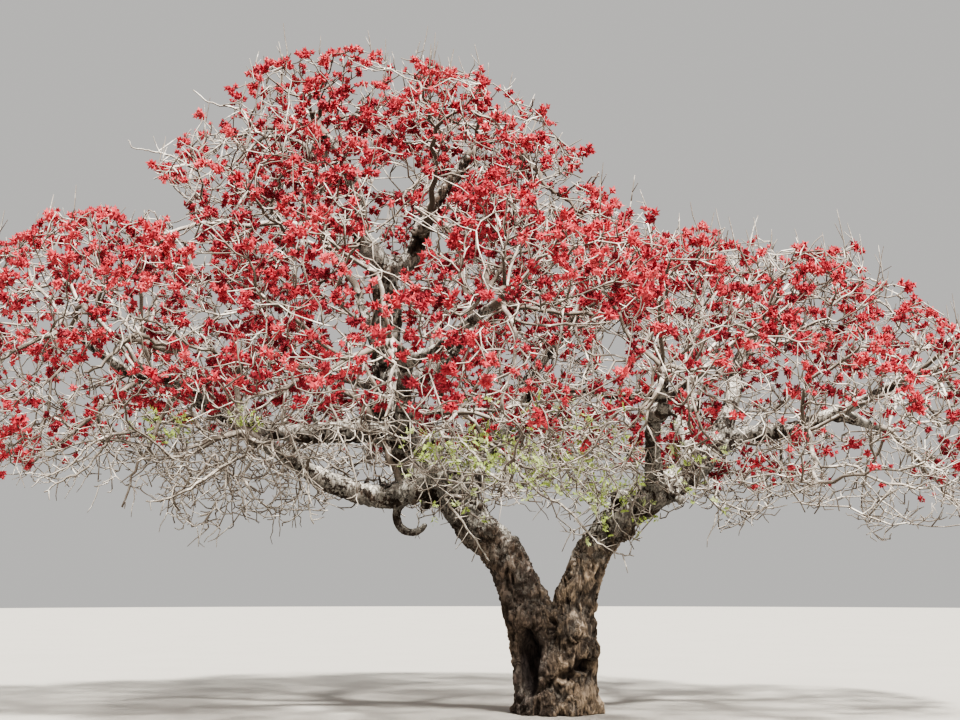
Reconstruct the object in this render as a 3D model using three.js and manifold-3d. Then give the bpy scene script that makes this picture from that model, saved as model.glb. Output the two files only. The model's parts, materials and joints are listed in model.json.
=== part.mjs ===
// A parrot tree in blossom at the end of the dry season: a low, forked trunk, crooked limbs and a
// broad crown of bare twigs that end in red blossom, with a little young leaf over the fork.
// Millimetres, +Z up, +X along the wide side of the crown. The origin is the middle of the flat
// cut at ground level.
import * as THREE from "three";
import { mergeVertices } from "three/addons/utils/BufferGeometryUtils.js";
import Module from "manifold-3d";

const wasm = await Module();
wasm.setup();
const { Vector3, MathUtils } = THREE;

// Driving dimensions
const GAP = 0.3; // air between two pieces that touch
const SEED = 4107;
const UP = new Vector3(0, 0, 1);
const point = (x, y, z) => new Vector3(x, y, z);

// The crown is the union of these rounded domes, above a floor that drops towards its rim.
const DOMES = [
  { centre: point(-2130, 0, 4600), radius: point(2930, 3300, 3280) }, // top
  { centre: point(-5200, 0, 4350), radius: point(2150, 2900, 1700) }, // left shoulder
  { centre: point(1900, 0, 3750), radius: point(2750, 3100, 1890) }, // right slope
  { centre: point(4050, 0, 3350), radius: point(1650, 2700, 1430) }, // right skirt
  { centre: point(-1100, -2600, 4200), radius: point(3200, 2600, 1520) }, // front
  { centre: point(-900, 2700, 4400), radius: point(3500, 2700, 1750) }, // back
];
const SQUARENESS = 2.4; // 2 gives ellipsoids, more gives fuller shoulders
const HOLLOW = 0.14; // the level inside which a dome holds limbs and no twigs
const FLOOR = { height: 2700, drop: 420, reach: 6500 };

// Each stem of the trunk: places of its middle line, and its radius there
const STEMS = [
  {
    name: "left_stem",
    line: [
      point(-95, 20, -60), point(-140, 25, 640), point(-350, 20, 1230), point(-505, 5, 1620),
      point(-680, 0, 1950),
    ],
    radii: [400, 375, 270, 234, 238],
  },
  {
    name: "right_stem",
    line: [
      point(55, -20, -60), point(95, -30, 640), point(215, -20, 1230), point(335, -10, 1620),
      point(470, 0, 1950),
    ],
    radii: [395, 372, 250, 210, 200],
  },
];
const TRUNK_STEPS = 8;
const TRUNK_SIDES = 12;
const ROOT = {
  count: 7, sides: 6, sway: 0.3,
  crown: { out: 190, height: 490, radius: 105 },
  knee: { out: 340, height: 150, radius: 150 },
  toe: { out: 480, height: -30, radius: 80 },
};
const BURLS = [
  { centre: point(290, -170, 740), radius: 200 },
  { centre: point(120, -235, 960), radius: 205 },
  { centre: point(-330, -120, 1120), radius: 240 },
  { centre: point(-60, 260, 820), radius: 240 },
  { centre: point(-170, -225, 500), radius: 230 },
];
const GROUND = { side: 4000, depth: 1000 };

// Limbs: where each one leaves its parent, as a share of the parent's length, its tip, how far its
// middle rises (+) or sags (-) and sways towards +Y, and its radius at both ends
const limb = (name, parent, share, tip, rise, sway, foot, end) => ({
  name, parent, share, tip, rise, sway, foot, end,
});
const LIMBS = [
  limb("great_limb", "left_stem", 1, point(-1950, -60, 3450), -180, 0, 240, 212),
  limb("leader_limb", "great_limb", 1, point(-2080, 60, 5300), 0, 120, 205, 145),
  limb("left_crown_limb", "leader_limb", 1, point(-2750, -250, 6850), 60, -120, 120, 55),
  limb("right_crown_limb", "leader_limb", 0.96, point(-1050, 200, 6700), -150, 100, 130, 55),
  limb("right_limb", "right_stem", 1, point(1980, 60, 3250), -40, -60, 200, 135),
  limb("right_rise_limb", "right_limb", 1, point(2550, 500, 4700), 60, 60, 115, 55),
  limb("right_reach_limb", "right_limb", 0.93, point(4000, -350, 3850), -110, 80, 115, 55),
  limb("left_high_limb", "great_limb", 0.96, point(-4750, 300, 3950), -260, 100, 150, 60),
  limb("left_low_limb", "great_limb", 0.62, point(-3450, -1000, 3150), -370, 120, 160, 75),
  limb("front_limb", "great_limb", 0.8, point(-1800, -2400, 4050), 120, 0, 140, 60),
  limb("back_limb", "leader_limb", 0.12, point(-1500, 2600, 4300), 150, 0, 140, 60),
  limb("front_right_limb", "right_limb", 0.5, point(1050, -2400, 3700), 130, 0, 115, 58),
  limb("back_right_limb", "right_limb", 0.68, point(1950, 2500, 3950), 120, 0, 115, 58),
  limb("centre_limb", "great_limb", 0.42, point(150, 500, 4600), -60, 120, 140, 58),
];
const LIMB_STEPS = 7;
const LIMB_SIDES = 6;
const LIMB_KNOTS = 4;
const CROOK = 0.045; // how far a knot of a limb strays, as a share of its length

// A dead limb that hangs under a low limb and curls back on itself
const HOOK = {
  name: "hooked_limb", parent: "left_low_limb", share: 0.1, drop: 370, start: 85, turn: 245,
  curl: 225, close: 165, foot: 64, end: 34, steps: 8, sides: 5,
};

// Boughs: one for each mass that no limb carries
const MASSES = 27;
const SITE = { reach: 760, samples: 1600, rounds: 14 };
const BOUGH = {
  foot: 88, end: 46, sides: 5, steps: 3, crook: 0.05, least: 450,
  shares: [0.3, 0.42, 0.54, 0.66, 0.78], // of a limb's length, where a bough can leave it
  enter: 330, // how far inside its mass's space it ends
  stub: 150, // it ends no nearer to the middle of that space
  bend: 0.5, // how much it dislikes turning away from its limb's heading
  clear: 130, // room between its middle line and other limbs
  near: 260, // past this length it also clears its limb's own parent
};

// Twigs of a mass
const TWIG = {
  joints: 12, spread: 2300,
  stem: 200, // from the bough's tip to the first joint
  spacing: 600, // least distance between two joints
  outer: 0.58, // share of the joints that lie at the crown's surface
  inset: 86, // how far inside the surface they lie
  edge: 55, // clear of the neighbouring mass's space
  turn: 0.9, // how much a twig dislikes turning back
  haste: 0.28, // how much a twig dislikes a long way to the stem
  longest: 1700,
  clear: 35, // room between a twig's middle line and a limb
  tip: 11, spike: 1.6, narrow: 0.8, knot: 1.8, sides: 3, stemSides: 5,
};
const BLOSSOM = { radius: 225, least: 0.82, flat: 0.75, tilt: 0.8, from: 2650, full: 3350, overshoot: 0.42 };
const LEAF = { length: 230, width: 78, thickness: 14, foot: 0.38 };
const LEAFY = { centre: point(-150, -300, 2950), radius: point(2000, 4200, 760) };
const SHOOT = { length: 330, lean: 35, above: 4600, radius: 16, surface: 0.7, edge: 30 };

const COLOURS = { trunk: 0x5d4737, limb: 0x8b857c, blossom: 0xb3262b, leaf: 0x9aa05c };

// A counter-based generator: the same seed gives the same run of numbers from 0 to 1.
function seeded(seed) {
  let state = seed >>> 0;
  return () => {
    state = (state + 0x6d2b79f5) >>> 0;
    let t = Math.imul(state ^ (state >>> 15), state | 1);
    t ^= t + Math.imul(t ^ (t >>> 7), t | 61);
    return ((t ^ (t >>> 14)) >>> 0) / 4294967296;
  };
}

// A random step, each way between minus and plus the reach
function strayBy(reach, random) {
  return point(random() - 0.5, random() - 0.5, random() - 0.5).multiplyScalar(2 * reach);
}

function solidOf(geometry) {
  const bare = geometry.clone();
  bare.deleteAttribute("normal");
  bare.deleteAttribute("uv");
  const merged = mergeVertices(bare, 1e-3);
  return new wasm.Manifold(
    new wasm.Mesh({
      numProp: 3,
      vertProperties: new Float32Array(merged.attributes.position.array),
      triVerts: new Uint32Array(merged.index.array),
    }),
  );
}

// The largest body, without loose scraps
function mainBody(solid) {
  return solid.decompose().reduce((a, b) => (b.volume() > a.volume() ? b : a));
}

function meshOf(solid, name, colour) {
  const { vertProperties, numProp, numVert, triVerts } = solid.getMesh();
  const places = new Float32Array(numVert * 3);
  for (let i = 0; i < numVert; i++)
    places.set(vertProperties.subarray(i * numProp, i * numProp + 3), i * 3);
  const geometry = new THREE.BufferGeometry()
    .setAttribute("position", new THREE.BufferAttribute(places, 3))
    .setIndex(new THREE.BufferAttribute(new Uint32Array(triVerts), 1));
  geometry.computeVertexNormals();
  const material = new THREE.MeshStandardMaterial({
    color: colour, roughness: 0.85, metalness: 0, flatShading: true,
  });
  const mesh = new THREE.Mesh(geometry, material);
  mesh.name = name;
  return mesh;
}

// A ring's place and cross directions at each point of a line, turned as little as possible
function framesAlong(line) {
  const headingAt = (i) =>
    line[Math.min(i + 1, line.length - 1)].clone().sub(line[Math.max(i - 1, 0)]).normalize();
  const first = headingAt(0);
  const side = Math.abs(first.z) > 0.9 ? point(1, 0, 0) : UP;
  let across = side.clone().cross(first).normalize();
  return line.map((at, i) => {
    const heading = headingAt(i);
    across = across.clone().addScaledVector(heading, -across.dot(heading)).normalize();
    return { at, across, over: heading.clone().cross(across) };
  });
}

// A tapering tube: a regular prism bent along a line, with a radius at each point of it
function bentTube(line, radii, sides) {
  const steps = line.length - 1;
  const corners = Array.from({ length: sides }, (_, i) => (2 * Math.PI * i) / sides);
  const section = new THREE.Shape(corners.map((a) => new THREE.Vector2(Math.cos(a), Math.sin(a))));
  const geometry = new THREE.ExtrudeGeometry(section, { depth: steps, steps, bevelEnabled: false });
  const frames = framesAlong(line);
  const places = geometry.getAttribute("position");
  const v = new Vector3();
  for (let i = 0; i < places.count; i++) {
    v.fromBufferAttribute(places, i);
    const ring = Math.round(v.z);
    const { at, across, over } = frames[ring];
    const placed = at.clone()
      .addScaledVector(across, v.x * radii[ring])
      .addScaledVector(over, v.y * radii[ring]);
    places.setXYZ(i, placed.x, placed.y, placed.z);
  }
  return solidOf(geometry);
}

// A tube that is larger than its own by the gap, sideways and at both ends
function grownTube(line, radii, sides) {
  const last = line.length - 1;
  const stretch = (from, to) => to.clone().addScaledVector(to.clone().sub(from).normalize(), GAP);
  const ends = [stretch(line[1], line[0]), stretch(line[last - 1], line[last])];
  const grow = (GAP + 0.03) / Math.cos(Math.PI / sides);
  return bentTube([ends[0], ...line.slice(1, last), ends[1]], radii.map((r) => r + grow), sides);
}

// A twig that tapers to a point
function spike(from, to, radius) {
  const way = to.clone().sub(from);
  const turn = new THREE.Quaternion().setFromUnitVectors(point(0, 1, 0), way.clone().normalize());
  const geometry = new THREE.ConeGeometry(radius, way.length(), TWIG.sides)
    .translate(0, way.length() / 2, 0)
    .applyQuaternion(turn);
  return solidOf(geometry.translate(from.x, from.y, from.z));
}

function ball(centre, radius) {
  return solidOf(new THREE.IcosahedronGeometry(radius, 1).translate(centre.x, centre.y, centre.z));
}

function smoothLine(knots, steps) {
  const curve = new THREE.CatmullRomCurve3(knots, false, "catmullrom", 0.5);
  return Array.from({ length: steps + 1 }, (_, i) => curve.getPoint(i / steps));
}

// The value or the point at a share of the way along a list
function spanAt(list, share) {
  const at = share * (list.length - 1);
  const low = Math.min(Math.floor(at), list.length - 2);
  return { low, rest: at - low };
}

function valueAlong(values, share) {
  const { low, rest } = spanAt(values, share);
  return MathUtils.lerp(values[low], values[low + 1], rest);
}

function pointAlong(line, share) {
  const { low, rest } = spanAt(line, share);
  return line[low].clone().lerp(line[low + 1], rest);
}

const taper = (line, foot, end) => line.map((_, k) => MathUtils.lerp(foot, end, k / (line.length - 1)));

// Distance between the segments ab and cd
function segmentGap(a, b, c, d) {
  const u = b.clone().sub(a);
  const v = d.clone().sub(c);
  const w = a.clone().sub(c);
  const uu = u.dot(u) || 1e-9;
  const vv = v.dot(v) || 1e-9;
  const uv = u.dot(v);
  const det = uu * vv - uv * uv;
  const clamp = (x) => MathUtils.clamp(x, 0, 1);
  let s = det > 1e-9 ? clamp((uv * v.dot(w) - vv * u.dot(w)) / det) : 0;
  const t = clamp((uv * s + v.dot(w)) / vv);
  s = clamp((uv * t - u.dot(w)) / uu);
  return w.addScaledVector(u, s).addScaledVector(v, -t).length();
}

// All wood so far: each piece's middle line and radii, its solid, and that solid grown by the gap
const wood = new Map();

function clearOfWood(a, b, room, except) {
  for (const [name, { line, radii }] of wood) {
    if (except.includes(name)) continue;
    for (let i = 0; i + 1 < line.length; i++) {
      const reach = Math.max(radii[i], radii[i + 1]) + room;
      if (segmentGap(a, b, line[i], line[i + 1]) < reach) return false;
    }
  }
  return true;
}

// A limb's solid is cut clear of all wood that is there already.
function addWood(name, line, radii, sides) {
  let solid = bentTube(line, radii, sides);
  for (const other of wood.values())
    if (other.grown) solid = solid.subtract(other.grown);
  wood.set(name, { line, radii, grown: grownTube(line, radii, sides), solid: mainBody(solid) });
}

// The trunk: two stems grown together, root flare and burls, cut flat at the ground
function buildTrunk() {
  const parts = [];
  const grown = [];
  const fuse = (line, radii, sides) => {
    parts.push(bentTube(line, radii, sides));
    grown.push(grownTube(line, radii, sides));
  };
  for (const { name, line, radii } of STEMS) {
    const path = smoothLine(line, TRUNK_STEPS);
    const sizes = path.map((_, i) => valueAlong(radii, i / TRUNK_STEPS));
    fuse(path, sizes, TRUNK_SIDES);
    wood.set(name, { line: path, radii: sizes });
  }
  const bends = [ROOT.crown, ROOT.knee, ROOT.toe];
  for (let i = 0; i < ROOT.count; i++) {
    const turn = (2 * Math.PI * (i + ROOT.sway * Math.sin(5 * i))) / ROOT.count;
    const line = bends.map(({ out, height }) => point(out * Math.cos(turn), out * Math.sin(turn), height));
    fuse(line, bends.map(({ radius }) => radius), ROOT.sides);
  }
  for (const { centre, radius } of BURLS) {
    parts.push(ball(centre, radius));
    grown.push(ball(centre, radius + 2 * GAP));
  }
  const ground = new THREE.BoxGeometry(GROUND.side, GROUND.side, GROUND.depth)
    .translate(0, 0, -GROUND.depth / 2);
  const trunk = parts.reduce((a, b) => a.add(b)).subtract(solidOf(ground));
  wood.set("trunk", { line: [], radii: [], grown: grown.reduce((a, b) => a.add(b)), solid: mainBody(trunk) });
}

function limbLine(foot, tip, rise, sway, random) {
  const reach = foot.distanceTo(tip) * CROOK;
  const knots = Array.from({ length: LIMB_KNOTS + 1 }, (_, i) => {
    const share = i / LIMB_KNOTS;
    const bulge = Math.sin(Math.PI * share);
    const inner = i > 0 && i < LIMB_KNOTS ? reach : 0;
    return foot.clone().lerp(tip, share)
      .add(strayBy(inner, random))
      .add(point(0, sway * bulge, rise * bulge));
  });
  return smoothLine(knots, LIMB_STEPS);
}

function buildLimbs() {
  LIMBS.forEach(({ name, parent, share, tip, rise, sway, foot, end }, i) => {
    const start = pointAlong(wood.get(parent).line, share);
    const line = limbLine(start, tip, rise, sway, seeded(SEED + i));
    addWood(name, line, taper(line, foot, end), LIMB_SIDES);
  });
}

function buildHook() {
  const start = pointAlong(wood.get(HOOK.parent).line, HOOK.share);
  const middle = start.clone().add(point(0, 0, -HOOK.drop));
  const curl = Array.from({ length: HOOK.steps }, (_, i) => {
    const share = i / (HOOK.steps - 1);
    const turn = MathUtils.degToRad(HOOK.start + HOOK.turn * share);
    const out = MathUtils.lerp(HOOK.curl, HOOK.close, share);
    return middle.clone().add(point(out * Math.cos(turn), 0, out * Math.sin(turn)));
  });
  const line = [start, ...curl];
  addWood(HOOK.name, line, taper(line, HOOK.foot, HOOK.end), HOOK.sides);
}

// A dome's level is 0 at its middle and 1 at its surface, and the crown's is its lowest dome's.
function domeLevel({ centre, radius }, p) {
  return ["x", "y", "z"].reduce(
    (sum, k) => sum + Math.abs((p[k] - centre[k]) / radius[k]) ** SQUARENESS, 0);
}
const crownLevel = (p) => Math.min(...DOMES.map((dome) => domeLevel(dome, p)));
const crownFloor = (p) =>
  FLOOR.height - FLOOR.drop * Math.min(1, (p.x * p.x + p.y * p.y) / FLOOR.reach ** 2);
const inCrown = (p) => {
  const level = crownLevel(p);
  return level < 1 && level > HOLLOW && p.z > crownFloor(p);
};
const LOW = DOMES.reduce((low, d) => low.min(d.centre.clone().sub(d.radius)), point(0, 0, 0));
const HIGH = DOMES.reduce((high, d) => high.max(d.centre.clone().add(d.radius)), point(0, 0, 0));

// A point moved to just inside the surface of the dome that it lies deepest in
function toSurface(p) {
  const levels = DOMES.map((dome) => domeLevel(dome, p));
  const level = Math.min(...levels);
  const { centre } = DOMES[levels.indexOf(level)];
  const out = p.clone().sub(centre);
  const scale = 1 / level ** (1 / SQUARENESS) - TWIG.inset / out.length();
  return out.multiplyScalar(scale).add(centre);
}

// Seeded points in a box, each kept, moved or dropped by a rule
function spreadPoints(count, seed, low, high, keep) {
  const random = seeded(seed);
  const found = [];
  for (let tries = 0; found.length < count && tries < count * 400; tries++) {
    const p = point(random(), random(), random()).multiply(high.clone().sub(low)).add(low);
    const kept = keep(p, random());
    if (kept) found.push(kept);
  }
  return found;
}

// The middles of the masses: one past the tip of each limb that no other limb continues, and the
// rest spread evenly over the crown
function placeSites() {
  const open = LIMBS.filter(({ name }) => !LIMBS.some((l) => l.parent === name && l.share === 1));
  const sites = open.map(({ name }) => {
    const { line } = wood.get(name);
    const tip = line.at(-1);
    const heading = tip.clone().sub(line.at(-3)).normalize();
    return { name, tip, at: tip.clone().addScaledVector(heading, SITE.reach) };
  });
  const samples = spreadPoints(SITE.samples, SEED + 50, LOW, HIGH, (p) => inCrown(p) && p);
  const offTo = (p, s) => p.distanceToSquared(s.at);
  const nearest = (p) => sites.reduce((best, s) => (offTo(p, s) < offTo(p, best) ? s : best));
  const lonely = (p) => offTo(p, nearest(p));
  while (sites.length < MASSES) {
    const far = samples.reduce((a, b) => (lonely(b) > lonely(a) ? b : a));
    sites.push({ name: null, at: far.clone() });
  }
  for (let round = 0; round < SITE.rounds; round++) evenOut(sites, samples, nearest);
  return sites;
}

// Each free site moves to the middle of the samples that are nearest to it.
function evenOut(sites, samples, nearest) {
  const sums = new Map(sites.map((s) => [s, { sum: point(0, 0, 0), count: 0 }]));
  for (const p of samples) {
    const entry = sums.get(nearest(p));
    entry.sum.add(p);
    entry.count++;
  }
  for (const [site, { sum, count }] of sums)
    if (!site.name && count) site.at = sum.divideScalar(count);
}

// How deep a point lies inside a site's own space, negative outside it
function depthIn(site, sites, p) {
  return sites.reduce((least, other) => {
    if (other === site) return least;
    const normal = other.at.clone().sub(site.at);
    const middle = other.at.clone().add(site.at).multiplyScalar(0.5);
    return Math.min(least, -p.clone().sub(middle).dot(normal.normalize()));
  }, Infinity);
}

// Every place where a bough could leave a limb for a site, the cheapest way first
function waysTo(site) {
  const ways = LIMBS.flatMap(({ name, parent }) => BOUGH.shares.map((share) => {
    const { line } = wood.get(name);
    const foot = pointAlong(line, share);
    const heading = foot.clone().sub(pointAlong(line, share - 0.1)).normalize();
    const way = site.at.clone().sub(foot);
    const bend = 1 - heading.dot(way.clone().normalize());
    return { name, parent, foot, cost: way.length() * (1 + BOUGH.bend * bend) };
  }));
  return ways.sort((a, b) => a.cost - b.cost);
}

// Where a bough from this foot would end, or nothing if its way isn't clear
function boughTip(site, sites, { name, parent, foot }) {
  const length = foot.distanceTo(site.at);
  let reach = BOUGH.least;
  const at = (r) => foot.clone().lerp(site.at, r / length);
  while (reach < length && depthIn(site, sites, at(reach)) < BOUGH.enter) reach += 20;
  const tip = at(Math.min(reach, Math.max(length - BOUGH.stub, BOUGH.least)));
  const beyond = at(BOUGH.near);
  const free = clearOfWood(foot, tip, BOUGH.clear, [name, parent])
    && clearOfWood(beyond, tip, BOUGH.foot, [name]);
  return free ? tip : null;
}

function buildBoughs(sites) {
  const counts = {};
  sites.filter((s) => !s.name).forEach((site, index) => {
    const way = waysTo(site).find((w) => {
      w.tip = boughTip(site, sites, w);
      return w.tip;
    });
    counts[way.name] = (counts[way.name] ?? 0) + 1;
    site.name = `${way.name.replace("_limb", "")}_bough_${counts[way.name]}`;
    site.tip = way.tip;
    const random = seeded(SEED + 100 + index);
    const reach = BOUGH.crook * way.foot.distanceTo(way.tip);
    const inner = [1 / 3, 2 / 3].map((x) => way.foot.clone().lerp(way.tip, x).add(strayBy(reach, random)));
    const line = smoothLine([way.foot, ...inner, way.tip], BOUGH.steps);
    addWood(site.name, line, taper(line, BOUGH.foot, BOUGH.end), BOUGH.sides);
  });
}

// The places of a mass's joints, each in its own space and clear of the others and of the limbs
function placeJoints(site, sites, first, index) {
  const chosen = [];
  const room = TWIG.edge + BLOSSOM.radius;
  const keep = (p, draw) => {
    const placed = draw < TWIG.outer ? toSurface(p) : p;
    const spaced = [...chosen, first].every((q) => q.distanceTo(placed) > TWIG.spacing);
    if (!spaced || !inCrown(placed) || depthIn(site, sites, placed) < room) return false;
    if (!clearOfWood(placed, placed, BLOSSOM.radius, [])) return false;
    chosen.push(placed);
    return placed;
  };
  const spread = point(1, 1, 1).multiplyScalar(TWIG.spread);
  const low = site.at.clone().sub(spread);
  return spreadPoints(TWIG.joints, SEED + 1000 * (index + 1), low, site.at.clone().add(spread), keep);
}

// Joint after joint joins the tree of twigs, by the way that costs least.
function growTwigs(site, sites, index) {
  const { line, radii } = wood.get(site.name);
  const heading = line.at(-1).clone().sub(line.at(-2)).normalize();
  const foot = site.tip.clone().addScaledVector(heading, GAP);
  const first = foot.clone().addScaledVector(heading, TWIG.stem);
  const joints = [{ at: foot, from: -1, way: 0 }, { at: first, from: 0, way: TWIG.stem }];
  const cost = (joint, at) => {
    const step = at.clone().sub(joint.at);
    const back = joint.at.clone().sub(joints[joint.from].at).normalize();
    const bend = (1 - back.dot(step.clone().normalize())) / 2;
    return step.length() * (1 + TWIG.turn * bend) + TWIG.haste * joint.way;
  };
  const free = (joint, i, at) => joint.at.distanceTo(at) < TWIG.longest
    && clearOfWood(joint.at, at, TWIG.clear, i === 1 ? [site.name] : []);
  const open = placeJoints(site, sites, first, index);
  while (open.length) {
    let best = null;
    for (const at of open)
      joints.forEach((joint, i) => {
        const price = i ? cost(joint, at) : Infinity;
        if ((!best || price < best.price) && i && free(joint, i, at)) best = { at, i, price };
      });
    if (!best) break;
    open.splice(open.indexOf(best.at), 1);
    const way = joints[best.i].way + best.at.distanceTo(joints[best.i].at);
    joints.push({ at: best.at, from: best.i, way });
  }
  return sizeTwigs(joints, radii.at(-1));
}

// Twigs add up at each fork, from the tips down to the stem, by a power law.
function sizeTwigs(joints, stemRadius) {
  const loads = joints.map(() => 0);
  for (let i = joints.length - 1; i > 0; i--) {
    if (!loads[i]) loads[i] = 1;
    loads[joints[i].from] += loads[i];
  }
  const power = Math.log(stemRadius / TWIG.tip) / Math.log(loads[1]);
  joints.forEach((joint, i) => {
    joint.radius = TWIG.tip * loads[Math.max(i, 1)] ** power;
    joint.tip = !joints.some((other) => other.from === i);
  });
  return joints;
}

function blossomAt(at, size, random) {
  const tilt = () => 2 * BLOSSOM.tilt * (random() - 0.5);
  const geometry = new THREE.OctahedronGeometry(size)
    .scale(1, 1, BLOSSOM.flat)
    .rotateX(tilt())
    .rotateY(tilt())
    .rotateZ(2 * Math.PI * random());
  return solidOf(geometry.translate(at.x, at.y, at.z));
}

function knotAt(at, size) {
  return solidOf(new THREE.OctahedronGeometry(size).translate(at.x, at.y, at.z));
}

function leafAt(at, random) {
  const geometry = new THREE.OctahedronGeometry(1)
    .scale(LEAF.length / 2, LEAF.width / 2, LEAF.thickness / 2)
    .translate(LEAF.length * LEAF.foot, 0, 0)
    .rotateX(0.8 * (random() - 0.5))
    .rotateY(0.9 * (random() - 0.3))
    .rotateZ(2 * Math.PI * random());
  return solidOf(geometry.translate(at.x, at.y, at.z));
}

const isLeafy = (p) => domeLevel(LEAFY, p) < 1;
const blossomShare = (p) => MathUtils.smoothstep(p.z, BLOSSOM.from, BLOSSOM.full);

// A thin upright shoot at a mass's highest tip, if there is room above it
function shootAt(site, sites, joints, at, random) {
  const lean = SHOOT.lean * (2 * random() - 1);
  const top = at.clone().add(point(lean, 0, SHOOT.length));
  const highest = joints.every((j) => j.at.z <= at.z || !j.tip);
  const wanted = highest && at.z > SHOOT.above && crownLevel(at) > SHOOT.surface;
  return wanted && depthIn(site, sites, top) > SHOOT.edge ? [spike(at, top, SHOOT.radius)] : [];
}

// One mass: its stem, its twigs, and the blossom, leaf or knot at each joint, fused together
function buildMass(site, sites, index) {
  const joints = growTwigs(site, sites, index);
  const [foot, first, ...rest] = joints;
  const random = seeded(SEED + 500 + index);
  const parts = [
    bentTube([foot.at, first.at], [foot.radius, first.radius], TWIG.stemSides),
    knotAt(first.at, first.radius * TWIG.knot),
  ];
  for (const { at, from, tip, radius } of rest) {
    const start = joints[from];
    const draw = random();
    const size = BLOSSOM.radius * MathUtils.lerp(BLOSSOM.least, 1, random());
    const leafy = isLeafy(at);
    const inBlossom = !leafy && draw < blossomShare(at);
    const way = at.clone().sub(start.at).normalize();
    const end = inBlossom ? at.clone().addScaledVector(way, BLOSSOM.overshoot * size) : at;
    if (tip) parts.push(spike(start.at, end, radius * TWIG.spike));
    else parts.push(bentTube([start.at, at], [radius, radius * TWIG.narrow], TWIG.sides));
    if (inBlossom) parts.push(blossomAt(at, size, random));
    else if (!tip) parts.push(knotAt(at, radius * TWIG.knot));
    if (leafy) parts.push(leafAt(at, random));
    if (tip) parts.push(...shootAt(site, sites, rest, at, random));
  }
  const fused = parts.reduce((a, b) => a.add(b));
  return mainBody(fused.subtract(wood.get(site.name).grown));
}

const tree = new THREE.Group();
buildTrunk();
buildLimbs();
buildHook();
const sites = placeSites();
buildBoughs(sites);
for (const [name, { solid }] of wood)
  if (solid) tree.add(meshOf(solid, name, name === "trunk" ? COLOURS.trunk : COLOURS.limb));
sites.forEach((site, index) => {
  const colour = isLeafy(site.at) ? COLOURS.leaf : COLOURS.blossom;
  tree.add(meshOf(buildMass(site, sites, index), `${site.name}_mass`, colour));
});

export default tree;
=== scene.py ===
"""A parrot tree in blossom: its bark, twigs, blossom and young leaves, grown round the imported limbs.

Run as a script in Blender 4.5. The crown follows the part source's own rule, in millimetres, and
each mesh is made in metres.
"""

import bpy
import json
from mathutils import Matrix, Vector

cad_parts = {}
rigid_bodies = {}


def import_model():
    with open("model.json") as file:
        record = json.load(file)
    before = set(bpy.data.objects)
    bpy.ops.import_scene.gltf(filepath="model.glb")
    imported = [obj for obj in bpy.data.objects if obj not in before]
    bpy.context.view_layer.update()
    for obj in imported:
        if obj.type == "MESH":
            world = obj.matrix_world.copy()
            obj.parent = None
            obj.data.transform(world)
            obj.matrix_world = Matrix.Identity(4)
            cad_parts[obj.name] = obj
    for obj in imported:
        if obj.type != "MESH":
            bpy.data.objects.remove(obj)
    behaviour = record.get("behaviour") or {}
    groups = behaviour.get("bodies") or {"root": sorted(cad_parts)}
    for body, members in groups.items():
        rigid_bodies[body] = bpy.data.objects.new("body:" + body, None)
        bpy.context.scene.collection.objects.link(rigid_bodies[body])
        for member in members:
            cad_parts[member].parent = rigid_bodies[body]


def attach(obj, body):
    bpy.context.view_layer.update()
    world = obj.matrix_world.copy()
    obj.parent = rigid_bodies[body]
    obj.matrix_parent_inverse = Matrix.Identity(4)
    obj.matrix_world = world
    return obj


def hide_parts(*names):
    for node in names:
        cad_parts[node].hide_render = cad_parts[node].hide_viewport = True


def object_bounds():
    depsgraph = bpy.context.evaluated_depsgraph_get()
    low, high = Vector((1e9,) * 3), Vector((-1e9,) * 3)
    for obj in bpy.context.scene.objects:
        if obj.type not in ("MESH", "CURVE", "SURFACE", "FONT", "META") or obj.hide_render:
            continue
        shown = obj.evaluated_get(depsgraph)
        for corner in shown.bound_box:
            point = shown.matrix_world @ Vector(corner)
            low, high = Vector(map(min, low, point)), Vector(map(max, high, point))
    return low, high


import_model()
CAD_BOX = [list(corner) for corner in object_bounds()]

import json
import math

import bmesh
import bpy
import numpy as np
from mathutils import Matrix, Quaternion, Vector

bl_info = {
    "name": "Parrot tree in blossom",
    "version": (1, 0, 0),
    "blender": (4, 5, 0),
    "location": "3D View > Sidebar > Tree",
    "description": "Builds bark, twigs, blossom and young leaves round the limbs of a packed tree",
    "category": "Object",
}

MM = 0.001
SEED = 4107
UP = np.array([0.0, 0.0, 1.0])
# What is added to the seed for each run of draws
SEEDS = {
    "samples": 50, "heads": 60, "clumps": 71, "dents": 72, "branches": 77, "spurs": 78, "sprays": 90,
    "boughs": 100, "limb_bark": 300, "bough_bark": 400, "mains": 1000, "masses": 5000, "tones": 6000,
    "shades": 6500, "bends": 7000, "fine": 9000,
}

# The crown of the source: rounded domes as (middle, radii), and a floor that drops towards the rim
DOMES = np.array([
    [(-2130, 0, 4600), (2930, 3300, 3280)],  # top
    [(-5200, 0, 4350), (2150, 2900, 1700)],  # left shoulder
    [(1900, 0, 3750), (2750, 3100, 1890)],  # right slope
    [(4050, 0, 3350), (1650, 2700, 1430)],  # right skirt
    [(-1100, -2600, 4200), (3200, 2600, 1520)],  # front
    [(-900, 2700, 4400), (3500, 2700, 1750)],  # back
], float)
SQUARENESS = 2.4
HOLLOW = 0.14
FLOOR = {"height": 2700, "drop": 420, "reach": 6500}

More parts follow.
